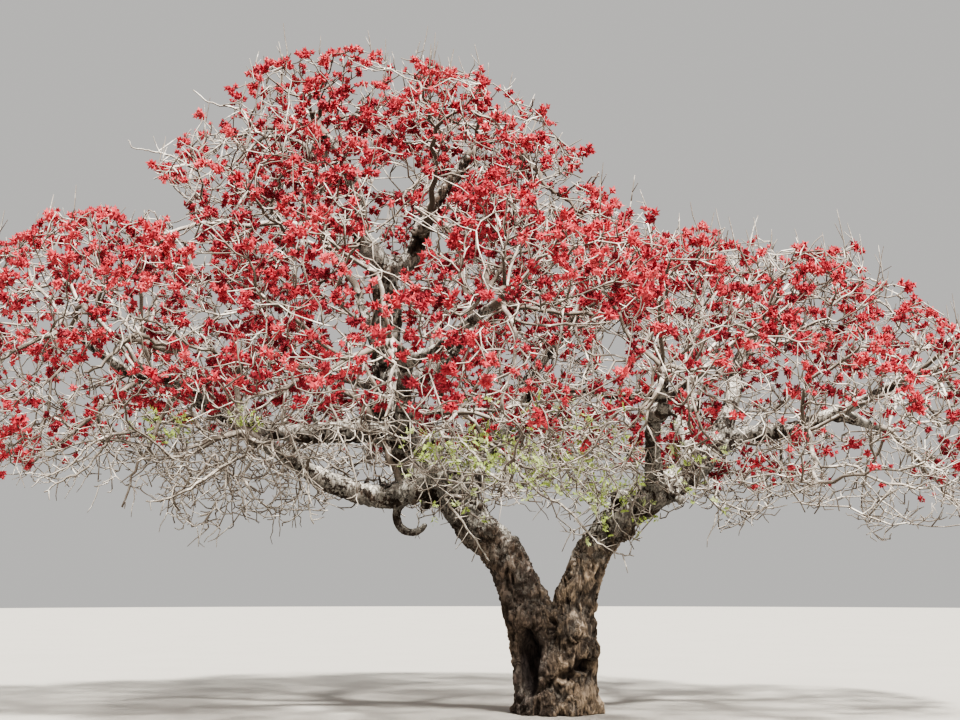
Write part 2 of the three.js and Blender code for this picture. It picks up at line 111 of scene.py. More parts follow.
STEMS = [
    {
        "name": "left_stem",
        "line": [(-95, 20, -60), (-140, 25, 640), (-350, 20, 1230), (-505, 5, 1620), (-680, 0, 1950)],
        "radii": [400, 375, 270, 234, 238],
    },
    {
        "name": "right_stem",
        "line": [(55, -20, -60), (95, -30, 640), (215, -20, 1230), (335, -10, 1620), (470, 0, 1950)],
        "radii": [395, 372, 250, 210, 200],
    },
]
TRUNK_STEPS = 8
ROOT = {
    "count": 7, "sway": 0.3, "wave": 5,
    "out": (190, 340, 480), "height": (490, 150, -30), "radius": (105, 150, 80),
}
BURLS = [
    ((290, -170, 740), 200), ((120, -235, 960), 205), ((-330, -120, 1120), 240),
    ((-60, 260, 820), 240), ((-170, -225, 500), 230),
]

# name, parent, share of the parent's length, tip, rise, sway, radius at the foot and at the end
LIMBS = [
    ("great_limb", "left_stem", 1, (-1950, -60, 3450), -180, 0, 240, 212),
    ("leader_limb", "great_limb", 1, (-2080, 60, 5300), 0, 120, 205, 145),
    ("left_crown_limb", "leader_limb", 1, (-2750, -250, 6850), 60, -120, 120, 55),
    ("right_crown_limb", "leader_limb", 0.96, (-1050, 200, 6700), -150, 100, 130, 55),
    ("right_limb", "right_stem", 1, (1980, 60, 3250), -40, -60, 200, 135),
    ("right_rise_limb", "right_limb", 1, (2550, 500, 4700), 60, 60, 115, 55),
    ("right_reach_limb", "right_limb", 0.93, (4000, -350, 3850), -110, 80, 115, 55),
    ("left_high_limb", "great_limb", 0.96, (-4750, 300, 3950), -260, 100, 150, 60),
    ("left_low_limb", "great_limb", 0.62, (-3450, -1000, 3150), -370, 120, 160, 75),
    ("front_limb", "great_limb", 0.8, (-1800, -2400, 4050), 120, 0, 140, 60),
    ("back_limb", "leader_limb", 0.12, (-1500, 2600, 4300), 150, 0, 140, 60),
    ("front_right_limb", "right_limb", 0.5, (1050, -2400, 3700), 130, 0, 115, 58),
    ("back_right_limb", "right_limb", 0.68, (1950, 2500, 3950), 120, 0, 115, 58),
    ("centre_limb", "great_limb", 0.42, (150, 500, 4600), -60, 120, 140, 58),
]
LIMB_STEPS = 7
LIMB_KNOTS = 4
CROOK = 0.045
HOOK = {
    "name": "hooked_limb", "parent": "left_low_limb", "share": 0.1, "drop": 370, "start": 85,
    "turn": 245, "curl": 225, "close": 165, "foot": 64, "end": 34, "steps": 8,
}
MASSES = 27
SITE = {"reach": 760, "samples": 1600, "tries": 12, "rounds": 14}
BOUGH = {
    "foot": 88, "end": 46, "steps": 3, "crook": 0.05, "least": 450,
    "shares": (0.3, 0.42, 0.54, 0.66, 0.78), "before": 0.1, "enter": 330, "step": 20, "stub": 150,
    "bend": 0.5, "clear": 130, "near": 260,
}
GAP = 0.3
TWIG = {
    "joints": 12, "tries": 400, "spread": 2300, "stem": 200, "spacing": 600, "outer": 0.58, "inset": 86,
    "edge": 55, "turn": 0.9, "haste": 0.28, "longest": 1700, "clear": 35,
}
BLOSSOM_RADIUS = 225
LEAFY = np.array([(-50, -300, 2800), (2050, 4200, 900)], float)

# The finer twigs: each pass adds joints nearer to each other, in the same space and by the same rule
PASSES = [
    {"tries": 9000, "most": 60, "spacing": 330, "outer": 0.5, "edge": 70, "longest": 1100},
    {"tries": 16000, "most": 185, "spacing": 188, "outer": 0.5, "edge": 60, "longest": 700},
]
STEP = 165  # between two bends of a twig
WOBBLE = 0.22  # how far a bend strays, as a share of the step
# How a twig curves on its way: how much of the old heading it keeps, and how it leaves and arrives
BEND = {"main": 0.12, "fine": 0.3, "leave": 0.4, "arrive": 0.3, "rise": 0.12}
FINE = {
    "clear": 12, "turn": 0.8, "haste": 0.2, "reach": 3200, "room": 90, "inner": 0.25,
    "inset": 30, "deeper": 190, "loose": 1.28, "tighter": 0.56,
}
WAVES = {"count": 9, "shortest": 900, "longest": 2100, "swing": 0.42}  # slow waves for clumps and gaps
# The crown's surface level, and how points are moved out to it
RAGGED = {"low": 0.6, "high": 1.07, "between": (0.1, 0.75), "rounds": 3, "least": 0.05, "grow": (0.5, 2)}
# How far the crown's lower edge hangs below its floor: everywhere, over the fork, and in steps along X
DROOP = {
    "all": 280, "between": (0.25, 0.85), "fork": 420, "middle": (300, -300), "reach": 1500,
    "sides": ((200, 1000, 2400), (170, -2500, -4500)),
}
FULLER = {"left_low_limb": 1.5, "right_reach_limb": 1.15}  # masses with more twigs than the rest
# How creases fill in towards the front and back
FULL = {"sharp": 9, "soft": 2.2, "between": (900, 2500)}
# Side twigs, and the thickest twigs that carry them
SIDE = {
    "thickest": 26, "shortest": 70, "longest": 290, "uneven": 1.6, "along": 0.55, "aside": 0.85,
    "up": 0.22, "kink": 0.32, "rise": 0.3, "stray": 0.9, "second": 0.55, "taper": (1.1, 0.95, 0.65),
    "past": 0.1, "edge": 15, "hang": 80,
}
# Twigs that reach out of the surface
REACH = {
    "share": 0.4, "shortest": 170, "longest": 450, "uneven": 1.5, "room": 60, "from": 0.7, "edge": 10,
    "along": 0.5, "out": 0.6, "up": 0.15, "stray": 0.8, "kink": 0.16, "bends": (0.35, 0.7, 1),
    "taper": (1.0, 0.88, 0.75, 0.45),
}
# Twigs along the branches that the photo shows
SPUR = {
    "from": 6, "every": 2, "shortest": 90, "longest": 340, "uneven": 1.3, "along": 0.5, "aside": 0.9,
    "up": 0.12, "kink": 0.3, "rise": 0, "stray": 0.9, "second": 0.5, "taper": (1.2, 1.0, 0.65),
}
# How those branches stray, and how thick the wood is that they can start from
BRANCH = {"deeper": 60, "thinnest_start": 10, "steps": 4, "crook": 1.1}
THICKENING = 1.38  # how late a twig grows thick on the way to its stem
TONE = {"most": 0.85, "rare": 1.7, "shoots": 0.8}  # how dark a twig can be, and how rare the dark ones are
# Heads of blossom beside a head, and how much deeper in colour they are inside the crown, as painted shade
CLUMP = {
    "chances": (0.8, 0.65, 0.45, 0.25), "apart": 1.02, "flat": 0.6, "smaller": 0.72,
    "inner": 0.4, "between": (0.3, 0.95), "varied": 0.16,
}
HEAD = {
    "corners": (12, 12, 11, 12, 11, 7, 7, 8), "large": 5, "core": 0.44, "uneven": 0.14,
    "sway": 0.6, "shortest": 0.72, "lift": 0.08, "twist": 0.5,
    "up": 0.5, "lean": 0.35, "grow": 0.42, "margin": 6,
}
GOLDEN_TURN = 2.39996  # from one corner of a head to the next, in radians
# Which share of the ends is in blossom, and the least size of its heads
HEADS_ON = {"tips": (1.0, 0.55), "forks": (0.5, 0.5), "thin": (0.5, 0.3)}
# Sprays of young leaves: their kinds and sizes, and how their leaflets stand along the stalk
SPRAY = {
    "kinds": 4, "least": 0.75, "grow": 0.5, "pairs": 3, "end": 1.15, "stalk": (0.22, 0.1, 0),
    "height": 1.5, "turn": 0.5, "twist": 0.6, "out": (1.25, 0.15), "up": (0.55, 0.4), "length": (0.85, 0.3),
}
LEAFLET = {"belly": 0.45, "width": 0.27, "fold": 0.05, "thickness": 0.03}
# Young leaves come in patches: seeded ones from here back, and few of those in front
LEAVES = {"most": 0.85, "scale": 2.5, "between": (0.42, 0.58), "behind": 700, "front": 0.2, "back": 0.8}
# Where blossom begins over the ground, with steps and dips along X, how it thins towards the right, and
# how it comes in clumps
BLOSSOM = {
    "height": 3000, "fade": 520, "steps": ((480, -5300, -6600), (330, 700, 2600), (500, 4200, 5000)),
    "dips": ((260, 2100, 700), (-330, -3900, 1500)), "most": 0.9,
    "thinner": ((0.27, 300, 1700), (0.24, 2900, 4600)), "least": 0.4, "grow": 1.1, "scale": 1.9,
    "between": (0.2, 0.8),
}
SPOT_EDGE = (0.65, 1.3)  # where a spot of the photo begins and ends to fade, as shares of its reach
UPRIGHT = {
    "above": 4200, "facing": 0.35, "shortest": 220, "longest": 520, "lean": 0.3, "share": 0.5, "kink": 0.03,
}
# More shoots close under the skyline, in pixels, and how they fork
EDGE = {"under": 9, "share": 0.38, "forked": 0.6, "aside": 1.6, "length": 0.45}
# The bark's relief: its noises as scale, detail, roughness and distortion, how the ridges fold, and how
# much of it wood has from the thinnest to the thickest
RELIEF = {
    "stretch": (1.0, 1.0, 0.42), "ridges": (8.5, 2.0, 0.5, 1.1), "knobs": (3.4, 2.0, 0.5),
    "grain": (24.0, 2.0, 0.6), "crest": 0.55, "fold": 7.0, "knob_gain": 4.0, "knob_share": 0.7,
    "girths": (0.05, 0.3, 0.14, 1.0),
}
# Patches and grains: their noises, how they are mixed, and how the amount moves their edge
SPECKLE = {"patch": (4.0, 0.6, 0.4), "grain": (3.0, 0.65), "mix": (0.65, 0.35), "high": 0.78, "drop": 0.56}
# Cracks: how they stretch, their noise, how wide they are, and the grain beside them
CRACKS = {"stretch": (1.0, 1.0, 0.3), "noise": (4.0, 0.6, 0.8), "width": 0.07, "grain": (60.0, 3.0, 0.6)}
# Where the bark changes, in metres up the tree and across it, and how much of each thing it has, painted
# sunlight on the upper and right sides and painted shade on the left side, in cracks and hollows among them
BARK = {
    "tones": (0.3, 0.7), "limbs": (1.3, 2.8), "high_limbs": (3.9, 5.0), "side": (-0.3, 0.12),
    "raised": (-0.5, 0.9), "foot": (1.3, 0.2), "foot_side": (-0.3, 0.15), "foot_dust_and_sun": 0.75,
    "dust_side": (-0.35, 0.15, 0.3, 1.0), "dust": 0.85, "facing": (0.45, 0.78), "lichen": (0.72, 0.28),
    "lit": 0.35, "pale": (0.88, 0.1), "crack": 0.45, "hollow": (0.03, 0.12, 0, 0.8),
}
# Painted shade: the colours of the trunk's shaded left side, and of its cracks and hollows
SHADED_SIDE = ((0.065, 0.048, 0.046, 1), (0.165, 0.125, 0.108, 1))
CRACK_SHADE = (0.034, 0.026, 0.024, 1)
HOLLOW_SHADE = (0.042, 0.034, 0.034, 1)
DARK_TWIG = (0.15, 0.12, 0.098)
PETAL_GAINS = (0.75, 1.3)  # how much darker and lighter a petal can be

CAMERA = {"place": (-0.9, -22.0, 1.7), "pitch": 6.4, "focal": 1848.0, "width": 960, "height": 720}

# Where the photo shows sky or a bare limb through the twigs: a strip between two of its pixels, its half
# width in pixels, and how far back it is open in millimetres
OPENINGS = [
    ((398, 256), (424, 214), 12, -150),
    ((424, 214), (462, 152), 9, -150),
    ((371, 186), (374, 240), 5, -200),
    ((386, 262), (408, 252), 12, -150),
    ((384, 178), (407, 178), 9, 6000),
    ((384, 216), (396, 216), 5, 6000),
    ((442, 242), (446, 250), 5, 6000),
    ((612, 336), (613, 354), 11, 6000),
    ((176, 212), (186, 234), 8, 6000),
    ((112, 186), (172, 202), 13, 6000),
    ((300, 466), (405, 498), 9, -200),
    ((306, 147), (264, 137), 5, -750),
    ((264, 137), (236, 161), 5, -750),
    ((264, 137), (212, 103), 4, -750),
    ((160, 343), (100, 366), 6, -1650),
    ((136, 335), (158, 297), 5, -1650),
    ((136, 335), (110, 300), 5, -1650),
    ((290, 388), (260, 408), 6, -1550),
    ((535, 168), (584, 215), 5, -950),
    ((480, 312), (594, 315), 5, -560),
    ((495, 278), (531, 251), 5, -950),
    ((650, 393), (664, 342), 5, -1550),
    ((500, 452), (582, 526), 4, -450),
]

# The upper edge of the blossom against the sky, in the photo's pixels. Heads stay under it, twigs pass it a
# little, and upright shoots further
SKYLINE = np.array([
    (-40, 244), (0, 238), (30, 226), (60, 204), (110, 204), (138, 220), (150, 162), (172, 147),
    (190, 112), (210, 106), (230, 80), (250, 66), (275, 52), (310, 48), (350, 44), (400, 47),
    (440, 55), (490, 66), (510, 86), (550, 106), (570, 132), (605, 158), (630, 186), (660, 214),
    (700, 226), (740, 236), (790, 246), (850, 236), (870, 260), (910, 288), (935, 308), (1000, 322),
], float)
SKY_ROOM = {"joints": -5, "twigs": 6, "shoots": 28, "heads": -3}
SKY_SPARE = 4
# How unevenly the crown fills up to the skyline, in pixels
SKY_ROUGH = {"pixels": 18, "scale": 2.7, "level": 0.62}

# Where the photo shows young leaves: the middle and the reach of each patch, in its pixels
LEAF_SPOTS = [
    ((430, 452), (32, 17)), ((391, 491), (13, 12)), ((482, 450), (30, 22)), ((534, 470), (24, 22)),
    ((614, 512), (32, 30)), ((572, 492), (20, 16)), ((580, 468), (16, 15)), ((165, 428), (26, 15)),
    ((243, 423), (15, 12)),
]

# Where the photo shows the blossom fuller or thinner than elsewhere: the middle and the reach of each
# place in its pixels, and how many times as many heads it has
BLOSSOM_SPOTS = [
    ((350, 150), (80, 32), 2.1), ((400, 215), (42, 34), 2.2), ((90, 270), (32, 28), 1.9),
    ((275, 268), (46, 30), 1.6), ((425, 340), (72, 56), 1.75), ((180, 390), (64, 26), 1.9),
    ((672, 432), (40, 40), 1.8), ((935, 335), (28, 28), 1.8), ((508, 390), (30, 26), 1.4),
    ((300, 92), (72, 28), 0.7), ((190, 178), (56, 56), 0.55), ((450, 268), (28, 26), 0.6),
    ((210, 325), (32, 28), 0.35), ((50, 388), (64, 30), 0.45), ((22, 442), (46, 34), 0.5),
    ((565, 165), (40, 30), 0.5), ((562, 210), (44, 26), 0.65), ((570, 285), (34, 42), 0.6),
    ((572, 378), (34, 48), 0.25), ((690, 328), (34, 30), 0.45), ((752, 270), (30, 28), 0.6),
    ((752, 420), (36, 50), 0.35), ((815, 398), (104, 42), 0.5), ((860, 455), (120, 30), 0.5),
]

# Branches that the photo shows plainly: their way in its pixels, how far back they lie, the radii at
# the foot and the end, and how dark they are
SHOWN_BRANCHES = [
    ([(322, 166), (306, 147), (287, 137), (264, 137), (248, 151), (236, 161), (221, 172)], -700, 27, 12, 0.0),
    ([(264, 137), (254, 128), (247, 117), (236, 108), (212, 103), (193, 90)], -700, 21, 7, 0.0),
    ([(196, 170), (176, 158), (160, 153), (147, 150), (133, 148), (128, 140)], -1200, 15, 5, 0.0),
    ([(160, 153), (156, 144), (153, 136)], -1200, 8, 4, 0.0),
    ([(414, 233), (430, 229), (456, 225), (480, 218), (497, 222)], -90, 42, 17, 0.5),
    ([(438, 229), (439, 240), (435, 252)], -130, 19, 9, 1.0),
    ([(444, 228), (452, 237), (459, 255), (461, 268)], -130, 27, 10, 1.0),
    ([(520, 150), (535, 168), (548, 187), (566, 200), (584, 215)], -900, 34, 18, 0.8),
    ([(472, 316), (480, 312), (510, 306), (545, 311), (594, 315)], -500, 46, 24, 0.7),
    ([(488, 292), (495, 278), (505, 262), (518, 253), (531, 251)], -900, 36, 17, 0.8),
    ([(642, 412), (650, 393), (655, 368), (664, 342)], -1500, 24, 13, 0.9),
    ([(412, 498), (396, 470), (380, 435), (364, 405), (340, 386)], -180, 72, 34, 0.75),
    ([(478, 440), (496, 448), (513, 463), (527, 481), (547, 497), (567, 508), (582, 526), (599, 543),
      (616, 553), (634, 556)], -420, 27, 7, 0.0),
    ([(582, 526), (572, 532), (560, 531)], -420, 10, 5, 0.2),
    ([(446, 496), (455, 512), (467, 529), (479, 545), (489, 561)], -330, 21, 12, 0.0),
    ([(610, 470), (618, 490), (612, 512), (622, 531), (640, 541)], -500, 15, 7, 0.3),
    ([(618, 490), (632, 503), (645, 510)], -500, 11, 6, 0.3),
    ([(590, 468), (588, 486), (600, 502), (596, 520)], -600, 13, 6, 0.4),
    ([(634, 470), (640, 490), (632, 508), (638, 528)], -700, 14, 6, 0.2),
    ([(560, 476), (566, 492), (576, 505), (574, 522)], -700, 13, 6, 0.3),
    ([(500, 453), (518, 458), (535, 457), (551, 450), (575, 452), (598, 458)], -520, 21, 8, 0.1),
    ([(545, 441), (551, 428), (558, 412), (571, 398)], -700, 22, 9, 0.7),
    ([(306, 470), (309, 488), (308, 505), (314, 524)], -900, 22, 9, 0.1),
    ([(185, 352), (160, 343), (136, 335), (118, 350), (100, 366), (84, 372)], -1600, 40, 16, 0.6),
    ([(136, 335), (146, 318), (152, 305), (161, 294)], -1600, 28, 12, 0.0),
    ([(136, 335), (124, 322), (117, 308), (108, 298)], -1600, 24, 10, 0.1),
    ([(168, 405), (152, 440), (135, 470), (122, 507)], -1800, 30, 11, 0.7),
    ([(230, 462), (197, 484), (165, 499), (146, 501)], -1800, 26, 9, 0.1),
    ([(140, 430), (112, 436), (100, 452), (82, 472), (62, 480), (44, 492)], -1900, 24, 8, 0.3),
    ([(105, 437), (88, 446), (72, 464), (52, 474), (36, 481)], -1950, 18, 7, 0.1),
    ([(147, 445), (120, 441), (90, 441), (66, 449), (48, 458)], -1850, 20, 8, 0.5),
    ([(215, 455), (200, 474), (188, 487), (170, 482), (152, 466)], -1800, 17, 8, 0.6),
    ([(300, 380), (287, 390), (262, 406), (240, 420)], -1500, 28, 12, 0.0),
    ([(446, 150), (432, 141), (415, 144), (398, 140)], -700, 22, 9, 0.0),
    ([(345, 250), (350, 232), (338, 205), (330, 192)], -1100, 26, 12, 0.1),
]


def length_setting(name, text, default, low, high):
    """A length in metres that the panel shows."""
    return bpy.props.FloatProperty(
        name=name, description=text, default=default, min=low, max=high, unit="LENGTH", subtype="DISTANCE")


def colour_setting(name, text, default):
    """A colour that the panel shows."""
    return bpy.props.FloatVectorProperty(
        name=name, description=text, default=default, min=0.0, max=1.0, subtype="COLOR")


class CrownSettings(bpy.types.PropertyGroup):
    """Sizes of the twigs, blossom and leaves."""

    tip_radius: length_setting("Twig tip radius", "Radius of the thinnest twigs", 0.0082, 0.001, 0.02)
    blossom_size: length_setting("Blossom size", "Radius of the largest head of blossom", 0.099, 0.02, 0.3)
    leaf_length: length_setting("Leaf length", "Length of one young leaflet", 0.054, 0.01, 0.3)
    side_twigs: bpy.props.FloatProperty(
        name="Side twigs", description="Share of the bends that carry a short side twig",
        default=0.95, min=0.0, max=1.0, subtype="FACTOR")


class BarkSettings(bpy.types.PropertyGroup):
    """Sizes of the bark's relief, and its colours."""

    voxel: length_setting("Mesh size", "Size of the bark mesh's faces", 0.021, 0.01, 0.06)
    ridge: length_setting("Ridge depth", "Depth of the bark's ridges on the trunk", 0.045, 0.0, 0.15)
    trunk_colour: colour_setting("Trunk", "Main colour of the trunk's bark", (0.20, 0.155, 0.125))
    limb_colour: colour_setting("Limbs", "Main colour of the limbs' bark", (0.078, 0.056, 0.044))
    # Pale dust, laid mostly on the trunk's sunlit right side, so painted sunlight as well
    dust_and_sunlit_colour: colour_setting("Dust", "Dry pale patches of the trunk's bark", (0.46, 0.355, 0.25))
    lichen_and_sunlit_colour: colour_setting(
        "Lichen", "Colour of the lichen and of the sunlit upper bark", (0.76, 0.74, 0.68))
    twig_colour: colour_setting("Twigs", "Main colour of the twigs", (0.89, 0.85, 0.78))


class BlossomSettings(bpy.types.PropertyGroup):
    """The reds of the blossom and the greens of the young leaves."""

    # Coral goes only to heads at the crown's surface, painted sunlight; ruby and deep red to heads further
    # inside it, painted shade; the rest of the tint is random
    coral: colour_setting("Coral", "The freshest heads of blossom", (0.55, 0.12, 0.132))
    scarlet: colour_setting("Scarlet", "The brightest heads of blossom", (0.50, 0.091, 0.104))
    crimson: colour_setting("Crimson", "The commonest heads of blossom", (0.425, 0.067, 0.081))
    ruby: colour_setting("Ruby", "Heads of blossom past their best", (0.34, 0.051, 0.065))
    deep: colour_setting("Deep red", "The oldest heads of blossom", (0.25, 0.037, 0.049))
    fresh_leaf: colour_setting("Fresh leaf", "Young yellow-green leaves", (0.375, 0.475, 0.15))
    pale_leaf: colour_setting("Pale leaf", "Pale grey-green leaves", (0.45, 0.52, 0.26))


# Seeded numbers

class Draws:
    """The source's seeded run of numbers from 0 to 1."""

    MASK = 0xFFFFFFFF
    COUNTER = 0x6D2B79F5

    def __init__(self, seed):
        self.seed = seed
        self.taken = 0

    def take(self, count):
        steps = np.arange(self.taken + 1, self.taken + count + 1, dtype=np.uint64)
        self.taken += count
        state = (steps * np.uint64(self.COUNTER) + np.uint64(self.seed)) & np.uint64(self.MASK)
        t = self.multiply(state ^ (state >> np.uint64(15)), state | np.uint64(1))
        t ^= (t + self.multiply(t ^ (t >> np.uint64(7)), t | np.uint64(61))) & np.uint64(self.MASK)
        return (t ^ (t >> np.uint64(14))).astype(float) / 2**32

    def multiply(self, a, b):
        return (a * b) & np.uint64(self.MASK)

    def rows(self, count, width):
        return self.take(count * width).reshape(-1, width)

    def one(self):
        return float(self.take(1)[0])

    def stray(self, reach):
        return (self.take(3) - 0.5) * 2 * reach


def seeded(kind, number=0):
    """The run of draws for one kind of thing, or for one of its kind."""
    return Draws(SEED + SEEDS[kind] + number)


# Lines

def unit(v):
    v = np.asarray(v, float)
    return v / np.maximum(np.linalg.norm(v, axis=-1, keepdims=True), 1e-9)


def smooth_line(knots, steps):
    """Points along the Catmull-Rom curve through the knots."""
    knots = np.asarray(knots, float)
    held = np.vstack([2 * knots[0] - knots[1], knots, 2 * knots[-1] - knots[-2]])
    at = np.linspace(0, len(knots) - 1, steps + 1)
    low = np.minimum(at.astype(int), len(knots) - 2)
    t = (at - low)[:, None]
    before, start, end, after = (held[low + i] for i in range(4))
    leave, arrive = (end - before) / 2, (after - start) / 2
    bend = -3 * start + 3 * end - 2 * leave - arrive
    return start + leave * t + bend * t**2 + (2 * start - 2 * end + leave + arrive) * t**3


def along(values, share):
    """The value or the point at a share of the way along a list."""
    values = np.asarray(values, float)
    at = share * (len(values) - 1)
    low = min(int(at), len(values) - 2)
    return values[low] + (values[low + 1] - values[low]) * (at - low)


def segment_gap(a, b, c, d):
    """Distance between the segments ab and cd, for whole arrays of them."""
    def dot(p, q):
        return (p * q).sum(-1)

    u, v, w = b - a, d - c, a - c
    uu, vv, uv = dot(u, u), dot(v, v), dot(u, v)
    uu, vv = np.where(uu == 0, 1e-9, uu), np.where(vv == 0, 1e-9, vv)
    det = uu * vv - uv * uv
    vw, uw = dot(v, w), dot(u, w)
    s = np.where(det > 1e-9, np.clip((uv * vw - vv * uw) / np.where(det > 1e-9, det, 1), 0, 1), 0)
    t = np.clip((uv * s + vw) / vv, 0, 1)
    s = np.clip((uv * t - uw) / uu, 0, 1)
    return np.linalg.norm(w + u * s[..., None] - v * t[..., None], axis=-1)


class Wood:
    """The middle lines and radii of the stems, limbs and boughs so far."""

    def __init__(self):
        self.lines = {}
        self.radii = {}
        self.knots = {}

    def add(self, name, line, radii, knots):
        self.lines[name] = line
        self.radii[name] = np.asarray(radii, float)
        self.knots[name] = knots

    def segments(self, skip=()):
        kept = [n for n in self.lines if n not in skip]
        starts = np.vstack([self.lines[n][:-1] for n in kept])
        ends = np.vstack([self.lines[n][1:] for n in kept])
        radii = np.concatenate([np.maximum(self.radii[n][:-1], self.radii[n][1:]) for n in kept])
        return starts, ends, radii

    def clear(self, a, b, room, skip=()):
        """True for each way from a to b that keeps its room to all wood."""
        starts, ends, radii = self.segments(skip)
        gap = segment_gap(a[:, None], b[:, None], starts[None], ends[None])
        return (gap >= radii + room).all(1)


# The camera's view

def on_screen(p):
    """Where the camera sees each place, in the photo's pixels."""
    tilt = math.radians(CAMERA["pitch"])
    off = p * MM - np.array(CAMERA["place"])
    depth = off[:, 1] * math.cos(tilt) + off[:, 2] * math.sin(tilt)
    rise = off[:, 2] * math.cos(tilt) - off[:, 1] * math.sin(tilt)
    across = CAMERA["width"] / 2 + CAMERA["focal"] * off[:, 0] / depth
    down = CAMERA["height"] / 2 - CAMERA["focal"] * rise / depth
    return np.stack([across, down], 1)


def behind_pixel(pixel, back):
    """The place that the camera sees at a pixel, so far back."""
    tilt = math.radians(CAMERA["pitch"])
    place = np.array(CAMERA["place"]) / MM
    along_y = back - place[1]
    slope = (CAMERA["height"] / 2 - pixel[1]) / CAMERA["focal"]
    up = along_y * (math.sin(tilt) + slope * math.cos(tilt)) / (math.cos(tilt) - slope * math.sin(tilt))
    depth = along_y * math.cos(tilt) + up * math.sin(tilt)
    across = (pixel[0] - CAMERA["width"] / 2) / CAMERA["focal"] * depth
    return np.array([place[0] + across, back, place[2] + up])


def over_skyline(p):
    """How many pixels the camera sees each place above the skyline, negative under it."""
    seen = on_screen(p)
    uneven = SKY_ROUGH["pixels"] * (CLUMPS.at(p * SKY_ROUGH["scale"]) - SKY_ROUGH["level"])
    return np.interp(seen[:, 0], *SKYLINE.T) - seen[:, 1] - uneven


def under_skyline(p):
    """The place, or one straight below it under the skyline."""
    high = max(0.0, float(over_skyline(p[None])[0]) - SKY_ROOM["joints"] + SKY_SPARE)
    return p - UP * high * (p[1] - CAMERA["place"][1] / MM) / CAMERA["focal"]


def in_opening(p, margin=0, sky="twigs"):
    """True where a twig or a head would fill an opening that the photo shows, or the sky over the crown."""
    seen = on_screen(p)
    filled = over_skyline(p) > SKY_ROOM[sky]
    for start, end, half, back in OPENINGS:
        a, b = np.array(start, float), np.array(end, float)
        share = np.clip((seen - a) @ (b - a) / ((b - a) @ (b - a)), 0, 1)
        gap = np.linalg.norm(seen - a - share[:, None] * (b - a), axis=1)
        filled |= (gap < half + margin) & (p[:, 1] < back)
    return filled


# The source's rule: limbs, masses and boughs

def grow_limbs(wood):
    for stem in STEMS:
        path = smooth_line(stem["line"], TRUNK_STEPS)
        radii = [along(stem["radii"], i / TRUNK_STEPS) for i in range(TRUNK_STEPS + 1)]
        wood.add(stem["name"], path, radii, np.array(stem["line"], float))
    for i, (name, parent, share, tip, rise, sway, foot, end) in enumerate(LIMBS):
        start = along(wood.lines[parent], share)
        knots = limb_knots(start, np.array(tip, float), rise, sway, Draws(SEED + i))
        wood.add(name, smooth_line(knots, LIMB_STEPS), np.linspace(foot, end, LIMB_STEPS + 1), knots)


def limb_knots(foot, tip, rise, sway, draws):
    reach = np.linalg.norm(tip - foot) * CROOK
    knots = []
    for i in range(LIMB_KNOTS + 1):
        share = i / LIMB_KNOTS
        bulge = math.sin(math.pi * share)
        inner = reach if 0 < i < LIMB_KNOTS else 0
        knots.append(foot + (tip - foot) * share + draws.stray(inner) + (0, sway * bulge, rise * bulge))
    return np.array(knots)


def grow_hook(wood):
    start = along(wood.lines[HOOK["parent"]], HOOK["share"])
    middle = start - (0, 0, HOOK["drop"])
    shares = np.linspace(0, 1, HOOK["steps"])
    turn = np.radians(HOOK["start"] + HOOK["turn"] * shares)
    out = HOOK["curl"] + (HOOK["close"] - HOOK["curl"]) * shares
    curl = middle + np.stack([out * np.cos(turn), 0 * out, out * np.sin(turn)], 1)
    line = np.vstack([start, curl])
    wood.add(HOOK["name"], line, np.linspace(HOOK["foot"], HOOK["end"], len(line)), line)


def dome_levels(p, domes):
    """0 at the middle of each dome and 1 at its surface."""
    return (np.abs((p[:, None] - domes[None, :, 0]) / domes[None, :, 1]) ** SQUARENESS).sum(-1)


def crown_floor(p):
    return FLOOR["height"] - FLOOR["drop"] * np.minimum(1, (p[:, :2] ** 2).sum(1) / FLOOR["reach"] ** 2)


def in_crown(p):
    level = dome_levels(p, DOMES).min(1)
    return (level < 1) & (level > HOLLOW) & (p[:, 2] > crown_floor(p))


def full_level(p):
    """The crown's level with the creases between its domes filled in towards the front and back."""
    levels = dome_levels(p, DOMES)
    low = levels.min(1)
    sharp = FULL["sharp"] + (FULL["soft"] - FULL["sharp"]) * smoothstep(np.abs(p[:, 1]), *FULL["between"])
    return low - np.log(np.exp(-sharp[:, None] * (levels - low[:, None])).sum(1)) / sharp


def surface_level(p):
    """The level at which the crown ends, which comes and goes in clumps and gaps."""
    return RAGGED["low"] + (RAGGED["high"] - RAGGED["low"]) * smoothstep(DENTS.at(p), *RAGGED["between"])


def droop(p):
    """How far the crown's lower edge hangs below its floor, most of all over the fork."""
    off = (p[:, :2] - DROOP["middle"]) / DROOP["reach"]
    hanging = DROOP["all"] + DROOP["fork"] * np.exp(-off[:, 0] ** 2 - off[:, 1] ** 2)
    return (hanging + steps_along(p, DROOP["sides"])) * smoothstep(CLUMPS.at(p), *DROOP["between"])


def in_ragged_crown(p):
    """The crown with gaps in its surface and a lower edge that hangs unevenly."""
    low = crown_floor(p) - droop(p)
    inner = dome_levels(p, DOMES).min(1) > HOLLOW
    return (full_level(p) < surface_level(p)) & inner & (p[:, 2] > low)


def to_ragged_surface(p, inset):
    """Points moved out to just inside the ragged surface."""
    for _ in range(RAGGED["rounds"]):
        out = p - DOMES[dome_levels(p, DOMES).argmin(1), 0]
        grow = (surface_level(p) / np.maximum(full_level(p), RAGGED["least"])) ** (1 / SQUARENESS)
        p = p + out * (np.clip(grow, *RAGGED["grow"]) - 1)[:, None]
    return p - unit(out) * inset[:, None]


def smoothstep(x, low, high):
    t = np.clip((x - low) / (high - low), 0, 1)
    return t * t * (3 - 2 * t)


def steps_along(p, steps):
    """The sum of soft steps along X, each given by its height and where it begins and ends."""
    return sum(height * smoothstep(p[:, 0], start, end) for height, start, end in steps)


